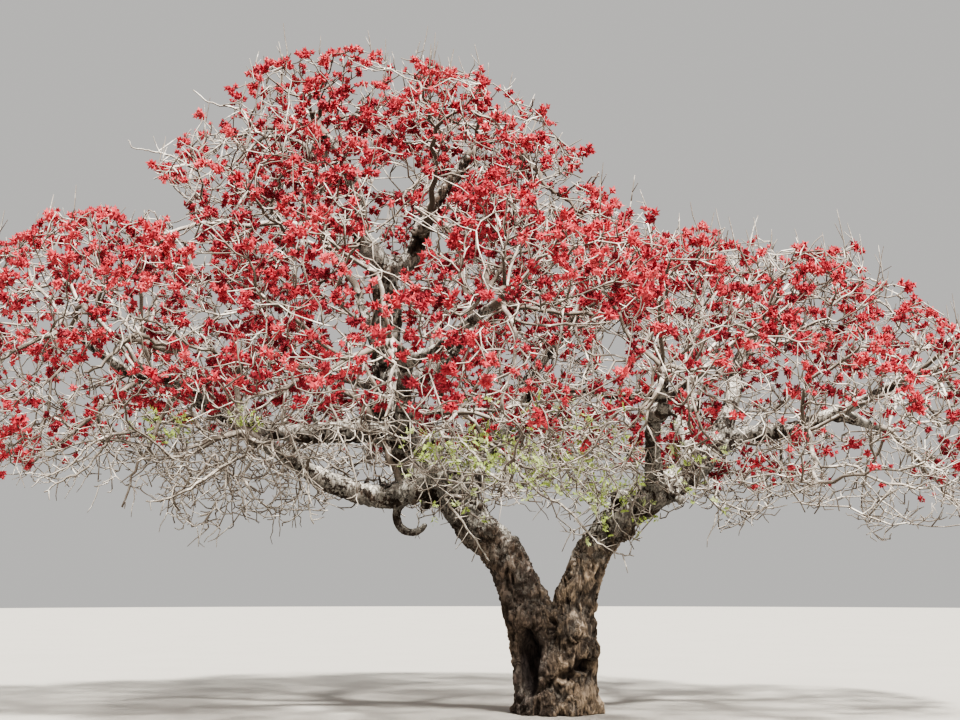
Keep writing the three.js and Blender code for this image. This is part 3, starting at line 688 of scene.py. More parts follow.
def to_surface(p, inset):
    """Points moved to just inside the surface of the dome that each lies deepest in."""
    levels = dome_levels(p, DOMES)
    middle = DOMES[levels.argmin(1), 0]
    out = p - middle
    scale = 1 / levels.min(1) ** (1 / SQUARENESS) - inset / np.linalg.norm(out, axis=1)
    return out * scale[:, None] + middle


class Waves:
    """A smooth seeded field from 0 to 1 over the crown, for clumps and gaps."""

    def __init__(self, kind):
        draws = seeded(kind)
        count = WAVES["count"]
        ways = unit(draws.rows(count, 3) - 0.5)
        lengths = WAVES["shortest"] + (WAVES["longest"] - WAVES["shortest"]) * draws.take(count)
        self.ways = ways * (2 * np.pi / lengths)[:, None]
        self.shifts = 2 * np.pi * draws.take(count)

    def at(self, p):
        total = np.sin(p @ self.ways.T + self.shifts).sum(1) / math.sqrt(WAVES["count"])
        return np.clip(0.5 + WAVES["swing"] * total, 0, 1)


CLUMPS = Waves("clumps")
DENTS = Waves("dents")


def crown_samples(count):
    low = np.minimum((DOMES[:, 0] - DOMES[:, 1]).min(0), 0)
    high = np.maximum((DOMES[:, 0] + DOMES[:, 1]).max(0), 0)
    drawn = seeded("samples").rows(count * SITE["tries"], 4)
    places = drawn[:, :3] * (high - low) + low
    return places[in_crown(places)][:count]


class Site:
    """The middle of a mass, its name, and its bough's tip."""

    def __init__(self, at, name=None, tip=None):
        self.at = at
        self.name = name
        self.tip = tip


def place_sites(wood):
    parents_on = {parent for _, parent, share, *_ in LIMBS if share == 1}
    sites = []
    for name, *_ in LIMBS:
        if name not in parents_on:
            line = wood.lines[name]
            sites.append(Site(line[-1] + unit(line[-1] - line[-3]) * SITE["reach"], name, line[-1]))
    samples = crown_samples(SITE["samples"])

    def gaps():
        return ((samples[:, None] - np.array([s.at for s in sites])) ** 2).sum(-1)

    while len(sites) < MASSES:
        sites.append(Site(samples[gaps().min(1).argmax()].copy()))
    for _ in range(SITE["rounds"]):
        nearest = gaps().argmin(1)
        for i, site in enumerate(sites):
            if not site.name and (nearest == i).any():
                site.at = samples[nearest == i].mean(0)
    return sites


def depth_in(index, sites, p):
    """How deep points lie inside a site's own space, negative outside it."""
    others = np.array([s.at for i, s in enumerate(sites) if i != index])
    normals = unit(others - sites[index].at)
    middles = (others + sites[index].at) / 2
    return -((p[:, None] - middles) * normals).sum(-1).max(1)


def ways_to(site, wood):
    """Every place where a bough could leave a limb for a site, the cheapest way first."""
    ways = []
    for name, parent, *_ in LIMBS:
        for share in BOUGH["shares"]:
            foot = along(wood.lines[name], share)
            heading = unit(foot - along(wood.lines[name], share - BOUGH["before"]))
            way = site.at - foot
            bend = 1 - heading @ unit(way)
            ways.append((np.linalg.norm(way) * (1 + BOUGH["bend"] * bend), len(ways), name, parent, foot))
    return sorted(ways, key=lambda way: way[:2])


def bough_tip(index, sites, wood, name, parent, foot):
    """Where a bough from this foot would end, or None if its way isn't clear."""
    site = sites[index]
    length = np.linalg.norm(site.at - foot)

    def at(reach):
        return foot + (site.at - foot) * reach / length

    reach = BOUGH["least"]
    while reach < length and depth_in(index, sites, at(reach)[None])[0] < BOUGH["enter"]:
        reach += BOUGH["step"]
    tip = at(min(reach, max(length - BOUGH["stub"], BOUGH["least"])))
    free = wood.clear(foot[None], tip[None], BOUGH["clear"], (name, parent))[0]
    beyond = wood.clear(at(BOUGH["near"])[None], tip[None], BOUGH["foot"], (name,))[0]
    return tip if free and beyond else None


def grow_boughs(sites, wood):
    counts = {}
    free_sites = [i for i, s in enumerate(sites) if not s.name]
    for number, index in enumerate(free_sites):
        for _, _, name, parent, foot in ways_to(sites[index], wood):
            tip = bough_tip(index, sites, wood, name, parent, foot)
            if tip is not None:
                break
        counts[name] = counts.get(name, 0) + 1
        bough = f"{name.replace('_limb', '')}_bough_{counts[name]}"
        draws = seeded("boughs", number)
        reach = BOUGH["crook"] * np.linalg.norm(tip - foot)
        inner = [foot + (tip - foot) * share + draws.stray(reach) for share in (1 / 3, 2 / 3)]
        knots = np.array([foot, *inner, tip])
        line = smooth_line(knots, BOUGH["steps"])
        wood.add(bough, line, np.linspace(BOUGH["foot"], BOUGH["end"], BOUGH["steps"] + 1), knots)
        sites[index].name, sites[index].tip = bough, tip


# Twigs

class Twigs:
    """The twigs of one mass: each joint's place, where it grew from, and its way back to the stem."""

    def __init__(self, foot, first, stem):
        self.at = [foot, first]
        self.source = [-1, 0]
        self.way = [0.0, stem]
        self.goal = [False, False]

    def add(self, at, source, goal):
        self.at.append(at)
        self.source.append(source)
        self.way.append(self.way[source] + float(np.linalg.norm(at - self.at[source])))
        self.goal.append(goal)
        return len(self.at) - 1

    def heading(self, joint):
        return unit(self.at[joint] - self.at[self.source[joint]])


def join_targets(twigs, targets, rule, clear, extend):
    """Joint after joint joins the tree of twigs, by the way that costs least."""
    price = np.full(len(targets), np.inf)
    choice = np.zeros(len(targets), int)
    waiting = np.ones(len(targets), bool)

    def offer(joints):
        open_targets = np.flatnonzero(waiting)
        if not len(open_targets):
            return
        at = np.array([twigs.at[j] for j in joints])
        back = np.array([twigs.heading(j) for j in joints])
        way = np.array([twigs.way[j] for j in joints])
        step = targets[open_targets][None] - at[:, None]
        length = np.linalg.norm(step, axis=-1)
        bend = (1 - (unit(step) * back[:, None]).sum(-1)) / 2
        cost = length * (1 + rule["turn"] * bend) + rule["haste"] * way[:, None]
        hopeful = (length < rule["longest"]) & (cost < price[open_targets][None])
        a, b = np.nonzero(hopeful)
        if len(a):
            stem = np.array(joints)[a] == 1
            free = clear(at[a], targets[open_targets[b]], stem)
            cost[a[~free], b[~free]] = np.inf
        cost[~hopeful] = np.inf
        best = cost.argmin(0)
        found = cost[best, np.arange(len(open_targets))]
        better = found < price[open_targets]
        price[open_targets[better]] = found[better]
        choice[open_targets[better]] = np.array(joints)[best[better]]

    offer(range(1, len(twigs.at)))
    while waiting.any():
        ready = np.where(waiting, price, np.inf)
        pick = int(ready.argmin())
        if not np.isfinite(ready[pick]):
            break
        waiting[pick] = False
        offer(extend(int(choice[pick]), targets[pick]))


def near_wood(site, wood, reach):
    """The wood that comes near a mass, with its bough kept apart."""
    kept = Wood()
    for name, line in wood.lines.items():
        radii = wood.radii[name]
        starts, ends = line[:-1], line[1:]
        gap = segment_gap(starts, ends, site.at[None], site.at[None])
        for i in np.flatnonzero(gap < reach):
            kept.add((name, i), line[i:i + 2], radii[i:i + 2], None)
    return kept


def main_joints(index, sites, wood, first):
    """The source's own joints of a mass."""
    count, spread = TWIG["joints"], TWIG["spread"]
    drawn = seeded("mains", SEEDS["mains"] * index).rows(TWIG["tries"] * count, 4)
    places = drawn[:, :3] * 2 * spread + sites[index].at - spread
    outer = drawn[:, 3] < TWIG["outer"]
    places[outer] = to_surface(places[outer], TWIG["inset"])
    kept = in_crown(places)
    kept[kept] = depth_in(index, sites, places[kept]) >= TWIG["edge"] + BLOSSOM_RADIUS
    kept[kept] = wood.clear(places[kept], places[kept], BLOSSOM_RADIUS)
    return spaced(places[kept], first[None], TWIG["spacing"], count)


def spaced(places, held, spacing, most):
    """The first places that keep their distance to each other and to those held already."""
    chosen = np.array(held)
    fresh = 0
    for p, room in zip(places, np.broadcast_to(spacing, len(places))):
        if fresh < most and (((chosen - p) ** 2).sum(1) > room**2).all():
            chosen = np.vstack([chosen, p])
            fresh += 1
    return chosen[len(held):]


def fine_joints(index, sites, near, twigs, rule, draws):
    """More joints of a mass, nearer to each other, denser towards the crown's surface."""
    drawn = draws.rows(rule["tries"], 5)
    spread = TWIG["spread"]
    places = drawn[:, :3] * 2 * spread + sites[index].at - spread
    kept = in_ragged_crown(places) & (drawn[:, 4] < FINE["inner"] + full_level(places))
    places, drawn = places[kept], drawn[kept]
    outer = drawn[:, 3] < rule["outer"]
    places[outer] = to_ragged_surface(places[outer], FINE["inset"] + FINE["deeper"] * drawn[outer, 4])
    kept = in_ragged_crown(places) & in_box(places)
    kept[kept] = depth_in(index, sites, places[kept]) > rule["edge"]
    kept[kept] = near.clear(places[kept], places[kept], FINE["room"])
    kept &= ~in_opening(places, sky="joints")
    places = places[kept]
    spacing = rule["spacing"] * (FINE["loose"] - FINE["tighter"] * CLUMPS.at(places))
    most = rule["most"] * FULLER.get(sites[index].name, 1)
    return spaced(places, np.array(twigs.at), spacing, most)


def grow_twigs(index, sites, wood):
    """The source's twigs of a mass, then the finer ones that grow on from them."""
    site = sites[index]
    near = near_wood(site, wood, FINE["reach"])
    line = wood.lines[site.name]
    heading = unit(line[-1] - line[-2])
    foot = site.tip + heading * GAP
    twigs = Twigs(foot, foot + heading * TWIG["stem"], TWIG["stem"])

    def clear(a, b, stem):
        free = wood.clear(a, b, TWIG["clear"]) | stem
        if stem.any():
            free[stem] = wood.clear(a[stem], b[stem], TWIG["clear"], (site.name,))
        return free

    def straight(joint, target):
        return [twigs.add(target, joint, True)]

    targets = main_joints(index, sites, wood, twigs.at[1])
    join_targets(twigs, targets, TWIG, clear, straight)
    draws = seeded("bends", index)
    twigs = bend_mains(twigs, draws)

    def fine_clear(a, b, stem):
        return near.clear(a, b, FINE["clear"]) | stem

    def bent(joint, target):
        return bend_way(twigs, joint, target, False, draws)

    for number, rule in enumerate(PASSES):
        targets = fine_joints(index, sites, near, twigs, rule, seeded("fine", 100 * index + number))
        join_targets(twigs, targets, {**FINE, "longest": rule["longest"]}, fine_clear, bent)
    return twigs


def bend_mains(twigs, draws):
    """The source's straight twigs, each split into crooked steps that finer twigs can start from."""
    bent = Twigs(twigs.at[0], twigs.at[1], twigs.way[1])
    place = {0: 0, 1: 1}
    for joint in range(2, len(twigs.at)):
        target = under_skyline(twigs.at[joint])
        place[joint] = bend_way(bent, place[twigs.source[joint]], target, True, draws)[-1]
    return bent


def bend_way(twigs, joint, target, main, draws):
    """Adds the joints of a twig that curves from one joint to a target."""
    start = twigs.at[joint]
    way = target - start
    length = float(np.linalg.norm(way))
    steps = max(1 if length < STEP else 2, round(length / STEP))
    swing = BEND["main"] if main else BEND["fine"]
    leave = start + (unit(way) * (1 - swing) + twigs.heading(joint) * swing) * length * BEND["leave"]
    rise = 0.0 if main else BEND["rise"]
    arrive = target - (unit(way) + UP * rise) * length * BEND["arrive"]
    made = []
    for i in range(1, steps + 1):
        t = i / steps
        left = 1 - t
        place = left**3 * start + 3 * left**2 * t * leave + 3 * left * t**2 * arrive + t**3 * target
        if i < steps:
            place = place + draws.stray(WOBBLE * min(length, STEP))
        joint = twigs.add(place, joint, i == steps)
        made.append(joint)
    return made


def short_twigs(at, back, drawn, rule):
    """The bend and the end of a short crooked twig at each of these places."""
    aside = unit(np.cross(back, drawn[:, :3] - 0.5))
    heading = unit(back * rule["along"] + aside * rule["aside"] + UP * rule["up"])
    length = rule["shortest"] + (rule["longest"] - rule["shortest"]) * drawn[:, 3:4] ** rule["uneven"]
    middle = at + heading * length * 0.5 + (drawn[:, 4:7] - 0.5) * rule["kink"] * length
    onward = unit(heading + UP * rule["rise"] + (drawn[:, -3:] - 0.5) * rule["stray"])
    return middle, middle + onward * length * rule["second"]


def size_twigs(twigs, stem_radius, tip_radius):
    """Twigs add up at each fork, from the tips down to the stem, and thicken towards the stem."""
    count = len(twigs.at)
    loads = np.zeros(count)
    children = [[] for _ in range(count)]
    for i in range(count - 1, 0, -1):
        loads[i] = max(loads[i], 1)
        loads[twigs.source[i]] += loads[i]
        children[twigs.source[i]].append(i)
    share = np.log(np.maximum(loads, 1)) / math.log(loads[1])
    radii = tip_radius * (stem_radius / tip_radius) ** (share ** THICKENING)
    radii[0] = radii[1]
    return radii, loads, children


def twig_paths(twigs, loads, children, radii):
    """The tree of twigs as unbroken lines, each going on into its heaviest twig."""
    starts = [(0, 1)]
    paths = []
    while starts:
        source, joint = starts.pop()
        path = [source, joint]
        while children[joint]:
            ordered = sorted(children[joint], key=lambda c: -loads[c])
            starts += [(joint, other) for other in ordered[1:]]
            joint = ordered[0]
            path.append(joint)
        thick = radii[path].copy()
        thick[0] = thick[1]
        paths.append((np.array([twigs.at[j] for j in path]), thick))
    return paths


def side_twigs(twigs, radii, share, draws, index, sites, tip_radius):
    """Short crooked side twigs at the bends, within the mass's own space and the crown."""
    joints = np.arange(2, len(twigs.at))
    joints = joints[(draws.take(len(joints)) < share) & (radii[2:] < SIDE["thickest"])]
    at, back = places_and_headings(twigs, joints)
    middle, end = short_twigs(at, back, draws.rows(len(joints), 9), SIDE)
    kept = full_level(end) < surface_level(end) + SIDE["past"]
    kept &= (depth_in(index, sites, end) > SIDE["edge"]) & in_box(end) & ~in_opening(end)
    kept &= end[:, 2] > crown_floor(end) - droop(end) - SIDE["hang"]
    thick = tip_radius * np.array(SIDE["taper"])
    return [(np.array(path), thick) for path in zip(at[kept], middle[kept], end[kept])]


def places_and_headings(twigs, joints):
    at = np.array([twigs.at[j] for j in joints]).reshape(-1, 3)
    back = np.array([twigs.heading(j) for j in joints]).reshape(-1, 3)
    return at, back


def reaching_twigs(twigs, children, draws, index, sites, tip_radius):
    """Longer twigs that reach out of the crown's surface, the upper ones upright and thin."""
    joints = [j for j in range(2, len(twigs.at)) if not children[j]]
    at, back = places_and_headings(twigs, joints)
    drawn = draws.rows(len(joints), 8)
    dome = DOMES[dome_levels(at, DOMES).argmin(1)]
    outward = unit((at - dome[:, 0]) / dome[:, 1])
    skyward = np.abs(over_skyline(at) + EDGE["under"]) < EDGE["under"]
    skyward &= drawn[:, 7] > 1 - EDGE["share"]
    upright = (at[:, 2] > UPRIGHT["above"]) & (outward[:, 2] > UPRIGHT["facing"])
    upright = upright & (drawn[:, 6] < UPRIGHT["share"]) | skyward
    kept = (full_level(at) > REACH["from"] * surface_level(at)) & (drawn[:, 7] < REACH["share"]) | skyward
    stray = drawn[:, :3] - 0.5
    heading = unit(back * REACH["along"] + outward * REACH["out"] + UP * REACH["up"] + stray * REACH["stray"])
    heading[upright] = unit(UP + stray[upright] * 2 * UPRIGHT["lean"])
    shortest, longest, kink = (
        np.where(upright, UPRIGHT[key], REACH[key])[:, None] for key in ("shortest", "longest", "kink"))
    length = shortest + (longest - shortest) * drawn[:, 3:4] ** REACH["uneven"]
    first, second, end = (
        at + heading * length * share + (drawn[:, column:column + 3] - 0.5) * (kink * length)
        for column, share in zip((3, 2, 1), REACH["bends"]))
    filled = np.where(upright, in_opening(end, sky="shoots"), in_opening(end))
    kept &= in_box(end) & (depth_in(index, sites, end) > REACH["edge"]) & ~filled
    thick = tip_radius * np.array(REACH["taper"])
    some = [(np.array(path), thick) for path in zip(at, first, second, end)]
    fork = first + unit(heading + stray * EDGE["aside"]) * length * EDGE["length"]
    forked = kept & upright & (drawn[:, 5] < EDGE["forked"]) & ~in_opening(fork, sky="shoots") & in_box(fork)
    shoots = [some[i] for i in np.flatnonzero(kept & upright)]
    shoots += [(np.array([first[i], fork[i]]), thick[-2:]) for i in np.flatnonzero(forked)]
    return [some[i] for i in np.flatnonzero(kept & ~upright)], shoots


def in_box(p):
    """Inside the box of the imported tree, with a little room to spare."""
    low, high = np.array(CAD_BOX) / MM
    return ((p > low + REACH["room"]) & (p < high - REACH["room"])).all(1)


# Crown assembly

class Head:
    """A head of blossom or a spray of leaves: its place, the way it points, its size and its kind."""

    def __init__(self, at, way, size, draws, kinds, tint=None):
        self.at = at
        self.way = way
        self.size = size
        self.spin, shape, self.tint = draws.take(3)
        if tint is not None:
            self.tint = float(np.clip(tint, 0, 0.999))
        self.shape = kinds[int(shape * len(kinds))]


def in_spot(seen, middle, reach):
    """1 in the middle of an ellipse of the photo's pixels, and 0 outside it."""
    off = np.sqrt((((seen - middle) / reach) ** 2).sum(1))
    return 1 - smoothstep(off, *SPOT_EDGE)


def blossom_share(p):
    """The share of twig ends in blossom: most of them high up, none along the bare lower edge."""
    seen = on_screen(p)
    spots = np.ones(len(p))
    for middle, reach, times in BLOSSOM_SPOTS:
        spots *= 1 + (times - 1) * in_spot(seen, middle, reach)
    base = BLOSSOM["height"] - steps_along(p, BLOSSOM["steps"])
    for deep, middle, reach in BLOSSOM["dips"]:
        base -= deep * np.exp(-(((p[:, 0] - middle) / reach) ** 2))
    thinned = BLOSSOM["most"] - steps_along(p, BLOSSOM["thinner"])
    clumps = smoothstep(CLUMPS.at(p * BLOSSOM["scale"]), *BLOSSOM["between"])
    clumped = BLOSSOM["least"] + BLOSSOM["grow"] * clumps
    return smoothstep(p[:, 2], base, base + BLOSSOM["fade"]) * thinned * clumped * spots


def leaf_share(p):
    """The share of twig ends in young leaves: the photo's patches, and seeded ones behind them."""
    seen = on_screen(p)
    spots = np.max([in_spot(seen, middle, reach) for middle, reach in LEAF_SPOTS], axis=0)
    inside = dome_levels(p, LEAFY[None])[:, 0] < 1
    patches = smoothstep(CLUMPS.at(p * LEAVES["scale"]), *LEAVES["between"]) * inside
    shown = np.maximum(spots, LEAVES["front"] * patches)
    return LEAVES["most"] * np.where(p[:, 1] < LEAVES["behind"], shown, LEAVES["back"] * patches)


class Crown:
    """The whole crown: twigs by the mass that they belong to, heads of blossom and sprays of leaves."""

    def __init__(self, settings):
        self.settings = settings
        self.tip_radius = settings.tip_radius / MM
        self.wood = Wood()
        grow_limbs(self.wood)
        grow_hook(self.wood)
        self.sites = place_sites(self.wood)
        grow_boughs(self.sites, self.wood)
        self.twigs = {}
        self.heads = []
        self.sprays = []
        for index in range(len(self.sites)):
            self.grow_mass(index)
        self.add_shown_branches()

    def add_shown_branches(self):
        """The branches that the photo shows plainly, each from the nearest wood or branch before it."""
        draws, spur_draws = seeded("branches"), seeded("spurs")
        shown = []
        for pixels, back, foot, end, tone in SHOWN_BRANCHES:
            knots = np.array([behind_pixel(pixel, back + draws.one() * BRANCH["deeper"]) for pixel in pixels])
            middle = knots[len(knots) // 2]
            owner = min(self.sites, key=lambda s: np.linalg.norm(s.at - middle)).name
            thick = [path for path, radii, _ in self.twigs[owner] if radii.max() > BRANCH["thinnest_start"]]
            joints = np.vstack([*thick, *self.wood.lines.values(), *shown])
            nearest = joints[np.linalg.norm(joints - knots[0], axis=1).argmin()]
            knots = np.vstack([nearest, knots])
            line = smooth_line(knots, BRANCH["steps"] * len(knots))
            line[1:-1] += (draws.rows(len(line) - 2, 3) - 0.5) * BRANCH["crook"] * foot
            self.twigs[owner].append((line, np.linspace(foot, end, len(line)), tone))
            shown.append(line)
            self.add_spurs(line[SPUR["from"]:], owner, tone, spur_draws)

    def add_spurs(self, line, owner, tone, draws):
        """Short crooked twigs along a branch, with blossom or leaves where the crown bears them."""
        starts = line[1::SPUR["every"]]
        back = unit(starts - line[:-1:SPUR["every"]][:len(starts)])
        middle, ends = short_twigs(starts, back, draws.rows(len(starts), 7), SPUR)
        kept = ~in_opening(ends) & in_box(ends)
        thick = self.tip_radius * np.array(SPUR["taper"])
        for path in zip(starts[kept], middle[kept], ends[kept]):
            self.twigs[owner].append((np.array(path), thick, tone))
        self.place_heads(ends[kept], unit(ends - middle)[kept], *HEADS_ON["thin"], draws, True)

    def grow_mass(self, index):
        """Grows the twigs of one mass, and deals out its blossom and leaves."""
        site = self.sites[index]
        twigs = grow_twigs(index, self.sites, self.wood)
        radii, loads, children = size_twigs(twigs, self.wood.radii[site.name][-1], self.tip_radius)
        draws = seeded("masses", index)
        paths = twig_paths(twigs, loads, children, radii)
        share = self.settings.side_twigs
        sides = side_twigs(twigs, radii, share, draws, index, self.sites, self.tip_radius)
        reaching, shoots = reaching_twigs(twigs, children, draws, index, self.sites, self.tip_radius)
        mixed = paths + sides + reaching
        tones = TONE["most"] * seeded("tones", index).take(len(mixed)) ** TONE["rare"]
        shades = TONE["shoots"] * seeded("shades", index).take(len(shoots))
        self.twigs[site.name] = [
            (*path, tone) for path, tone in zip(mixed + shoots, np.concatenate([tones, shades]))]
        tips = [j for j in range(2, len(twigs.at)) if not children[j]]
        forks = [j for j in range(2, len(twigs.at)) if children[j] and twigs.goal[j]]
        self.place_heads(*places_and_headings(twigs, tips), *HEADS_ON["tips"], draws)
        self.place_heads(*places_and_headings(twigs, forks), *HEADS_ON["forks"], draws)
        for some, single in ((sides, True), (reaching, False)):
            ends, before = (np.array([path[i] for path, _ in some]).reshape(-1, 3) for i in (-1, -2))
            self.place_heads(ends, unit(ends - before), *HEADS_ON["thin"], draws, single)

    def place_heads(self, at, back, share, least, draws, single=False):
        """Blossom or young leaves on a share of these twig ends, no smaller than the least size."""
        in_blossom = share * blossom_share(at)
        leafy = leaf_share(at)
        in_blossom[in_opening(at, HEAD["margin"], "heads")] = 0
        leafy[in_opening(at)] = 0
        for i in range(len(at)):
            draw, size, green = draws.take(3)
            way = unit(back[i] + UP * HEAD["up"] + draws.stray(HEAD["lean"]))
            if green < leafy[i]:
                grown = SPRAY["least"] + SPRAY["grow"] * size
                self.sprays.append(Head(at[i], way, grown, draws, range(SPRAY["kinds"])))
            elif draw < in_blossom[i]:
                self.place_clump(at[i], way, least + HEAD["grow"] * size, draws, single)

    def place_clump(self, at, way, size, draws, single):
        """One head, and often a few smaller ones close beside it."""
        large = range(HEAD["large"])
        small = range(HEAD["large"], len(HEAD["corners"]))
        # Painted shade and sunlight: heads deep in the crown lean to the deeper reds, those at its surface to
        # the lighter, beside a random tint
        outer = smoothstep(full_level(at[None]), *CLUMP["between"])[0]
        tint = (1 - CLUMP["inner"]) * draws.one() + CLUMP["inner"] * (1 - outer)
        self.heads.append(Head(at, way, size, draws, small if single else large, tint))
        if single:
            return
        radius = size * self.settings.blossom_size / MM
        for chance in CLUMP["chances"]:
            if draws.one() < chance:
                aside = unit(draws.stray(1) * (1, 1, CLUMP["flat"])) * radius * CLUMP["apart"]
                beside = unit(way + aside / radius)
                near = tint + CLUMP["varied"] * (draws.one() - 0.5)
                self.heads.append(Head(at + aside, beside, size * CLUMP["smaller"], draws, small, near))


# Meshes

def new_object(name, mesh):
    made = bpy.data.objects.new(name, mesh)
    bpy.context.scene.collection.objects.link(made)
    return made


def mesh_of(name, places, edges=(), faces=()):
    mesh = bpy.data.meshes.new(name)
    mesh.from_pydata([tuple(p) for p in places], edges, faces)
    mesh.update()
    return mesh


def add_attribute(mesh, name, kind, values):
    attribute = mesh.attributes.new(name, kind, "POINT")
    field = "vector" if kind == "FLOAT_VECTOR" else "value"
    attribute.data.foreach_set(field, np.asarray(values).ravel())


def remove_object(made):
    mesh = made.data
    bpy.data.objects.remove(made)
    if mesh and mesh.users == 0:
        bpy.data.meshes.remove(mesh)


def baked(made):
    """The object with its modifiers turned into a plain mesh."""
    bpy.context.view_layer.update()
    graph = bpy.context.evaluated_depsgraph_get()
    mesh = bpy.data.meshes.new_from_object(made.evaluated_get(graph), depsgraph=graph)
    mesh.name = made.name
    old = made.data
    made.modifiers.clear()
    made.data = mesh
    if old.users == 0:
        bpy.data.meshes.remove(old)
    return made


def grown_by(made, tree, values):
    """The object after a geometry node tree with these inputs, as a plain mesh."""
    modifier = made.modifiers.new(tree.name, "NODES")
    modifier.node_group = tree
    sockets = {s.name: s.identifier for s in tree.interface.items_tree if s.item_type == "SOCKET"}
    for name, value in values.items():
        modifier[sockets[name]] = value
    return baked(made)


def joined(name, parts):
    """Several mesh objects as one."""
    with bpy.context.temp_override(
            active_object=parts[0], selected_editable_objects=parts, selected_objects=parts):
        bpy.ops.object.join()
    parts[0].name = parts[0].data.name = name
    return parts[0]


def finished(made, nodes=()):
    """A finished piece: it rides on the tree, and stands for its nodes."""
    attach(made, "root")
    if nodes:
        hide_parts(*nodes)


def fresh(kept, name, *kind):
    """New data of this name, in place of what an earlier run left."""
    old = kept.get(name)
    if old:
        kept.remove(old)
    return kept.new(name, *kind)


# Geometry node trees

class NodeTree:
    """A small helper to build node trees: each call adds a node, sets it and links its inputs."""

    def __init__(self, tree):
        self.tree = tree

    def socket(self, name, kind, default=None, output=False, low=None):
        made = self.tree.interface.new_socket(
            name, in_out="OUTPUT" if output else "INPUT", socket_type=kind)
        if default is not None:
            made.default_value = default
        if low is not None:
            made.min_value = low

    def add(self, kind, links=None, **settings):
        node = self.tree.nodes.new(kind)
        for key, value in settings.items():
            setattr(node, key, value)
        for key, value in (links or {}).items():
            socket = node.inputs[key]
            if isinstance(value, bpy.types.NodeSocket):
                self.tree.links.new(value, socket)
            else:
                socket.default_value = value
        return node

    def math(self, operation, a, b=0.0):
        return self.add("ShaderNodeMath", {0: a, 1: b}, operation=operation).outputs[0]

    def product(self, first, *others):
        for other in others:
            first = self.math("MULTIPLY", first, other)
        return first

    def stretched(self, v, factors):
        return self.add("ShaderNodeVectorMath", {0: v, 1: factors}, operation="MULTIPLY").outputs["Vector"]

    def noise(self, vector, scale, detail=3.0, roughness=0.55, distortion=0.0):
        return self.add("ShaderNodeTexNoise", {
            "Vector": vector, "Scale": scale, "Detail": detail, "Roughness": roughness,
            "Distortion": distortion}).outputs["Fac"]

    def ramp(self, value, low, high, to_low=0.0, to_high=1.0):
        return self.add("ShaderNodeMapRange", {
            "Value": value, "From Min": low, "From Max": high, "To Min": to_low,
            "To Max": to_high}, interpolation_type="SMOOTHSTEP").outputs[0]

    def mix(self, factor, a, b):
        return self.add("ShaderNodeMix", {0: factor, 6: a, 7: b}, data_type="RGBA").outputs[2]

    def named(self, name, kind="FLOAT"):
        """An attribute of the geometry, for a geometry node tree."""
        node = self.add("GeometryNodeInputNamedAttribute", {"Name": name}, data_type=kind)
        return node.outputs["Attribute"]

    def stored(self, name):
        """An attribute of the mesh, for a material."""
        return self.add("ShaderNodeAttribute", attribute_name=name).outputs["Fac"]

    def group(self, tree, links):
        return self.add("ShaderNodeGroup", links, node_tree=tree).outputs


def geometry_tree(name):
    build = NodeTree(fresh(bpy.data.node_groups, name, "GeometryNodeTree"))
    build.socket("Geometry", "NodeSocketGeometry")
    build.socket("Geometry", "NodeSocketGeometry", output=True)
    return build


def end_tree(build, source, geometry):
    """Every tree ends in Realize Instances and Set Material."""
    real = build.add("GeometryNodeRealizeInstances", {"Geometry": geometry}).outputs[0]
    made = build.add("GeometryNodeSetMaterial", {"Geometry": real, "Material": source.outputs["Material"]})
    build.add("NodeGroupOutput", {0: made.outputs[0]})


def twig_tree():
    """Round tubes along lines, as thick as the lines say."""
    build = geometry_tree("Twig tubes")
    build.socket("Sides", "NodeSocketInt", 3, low=3)
    build.socket("Thickness", "NodeSocketFloat", 1.0, low=0.0)
    build.socket("Material", "NodeSocketMaterial")
    source = build.add("NodeGroupInput")
    curve = build.add("GeometryNodeMeshToCurve", {"Mesh": source.outputs["Geometry"]}).outputs[0]
    ring = build.add("GeometryNodeCurvePrimitiveCircle", {
        "Resolution": source.outputs["Sides"], "Radius": 1.0}, mode="RADIUS").outputs["Curve"]
    scale = build.product(build.named("radius_m"), source.outputs["Thickness"])
    tube = build.add("GeometryNodeCurveToMesh", {
        "Curve": curve, "Profile Curve": ring, "Scale": scale, "Fill Caps": True}).outputs[0]
    smooth = build.add("GeometryNodeSetShadeSmooth", {"Geometry": tube, "Shade Smooth": True}).outputs[0]
    end_tree(build, source, smooth)
    return build.tree


def scatter_tree():
    """Shapes dealt out over points, each turned and sized as its point says."""
    build = geometry_tree("Dealt out shapes")
    build.socket("Shapes", "NodeSocketCollection")
    build.socket("Size", "NodeSocketFloat", 1.0, low=0.0)
    build.socket("Material", "NodeSocketMaterial")
    source = build.add("NodeGroupInput")
    shapes = build.add("GeometryNodeCollectionInfo", {
        "Collection": source.outputs["Shapes"], "Separate Children": True, "Reset Children": True},
        transform_space="ORIGINAL").outputs[0]
    turn = build.add("FunctionNodeEulerToRotation", {0: build.named("turn", "FLOAT_VECTOR")}).outputs[0]
    dealt = build.add("GeometryNodeInstanceOnPoints", {
        "Points": source.outputs["Geometry"], "Instance": shapes, "Pick Instance": True,
        "Instance Index": build.named("shape", "INT"), "Rotation": turn,
        "Scale": build.product(build.named("size"), source.outputs["Size"])}).outputs[0]
    end_tree(build, source, dealt)
    return build.tree


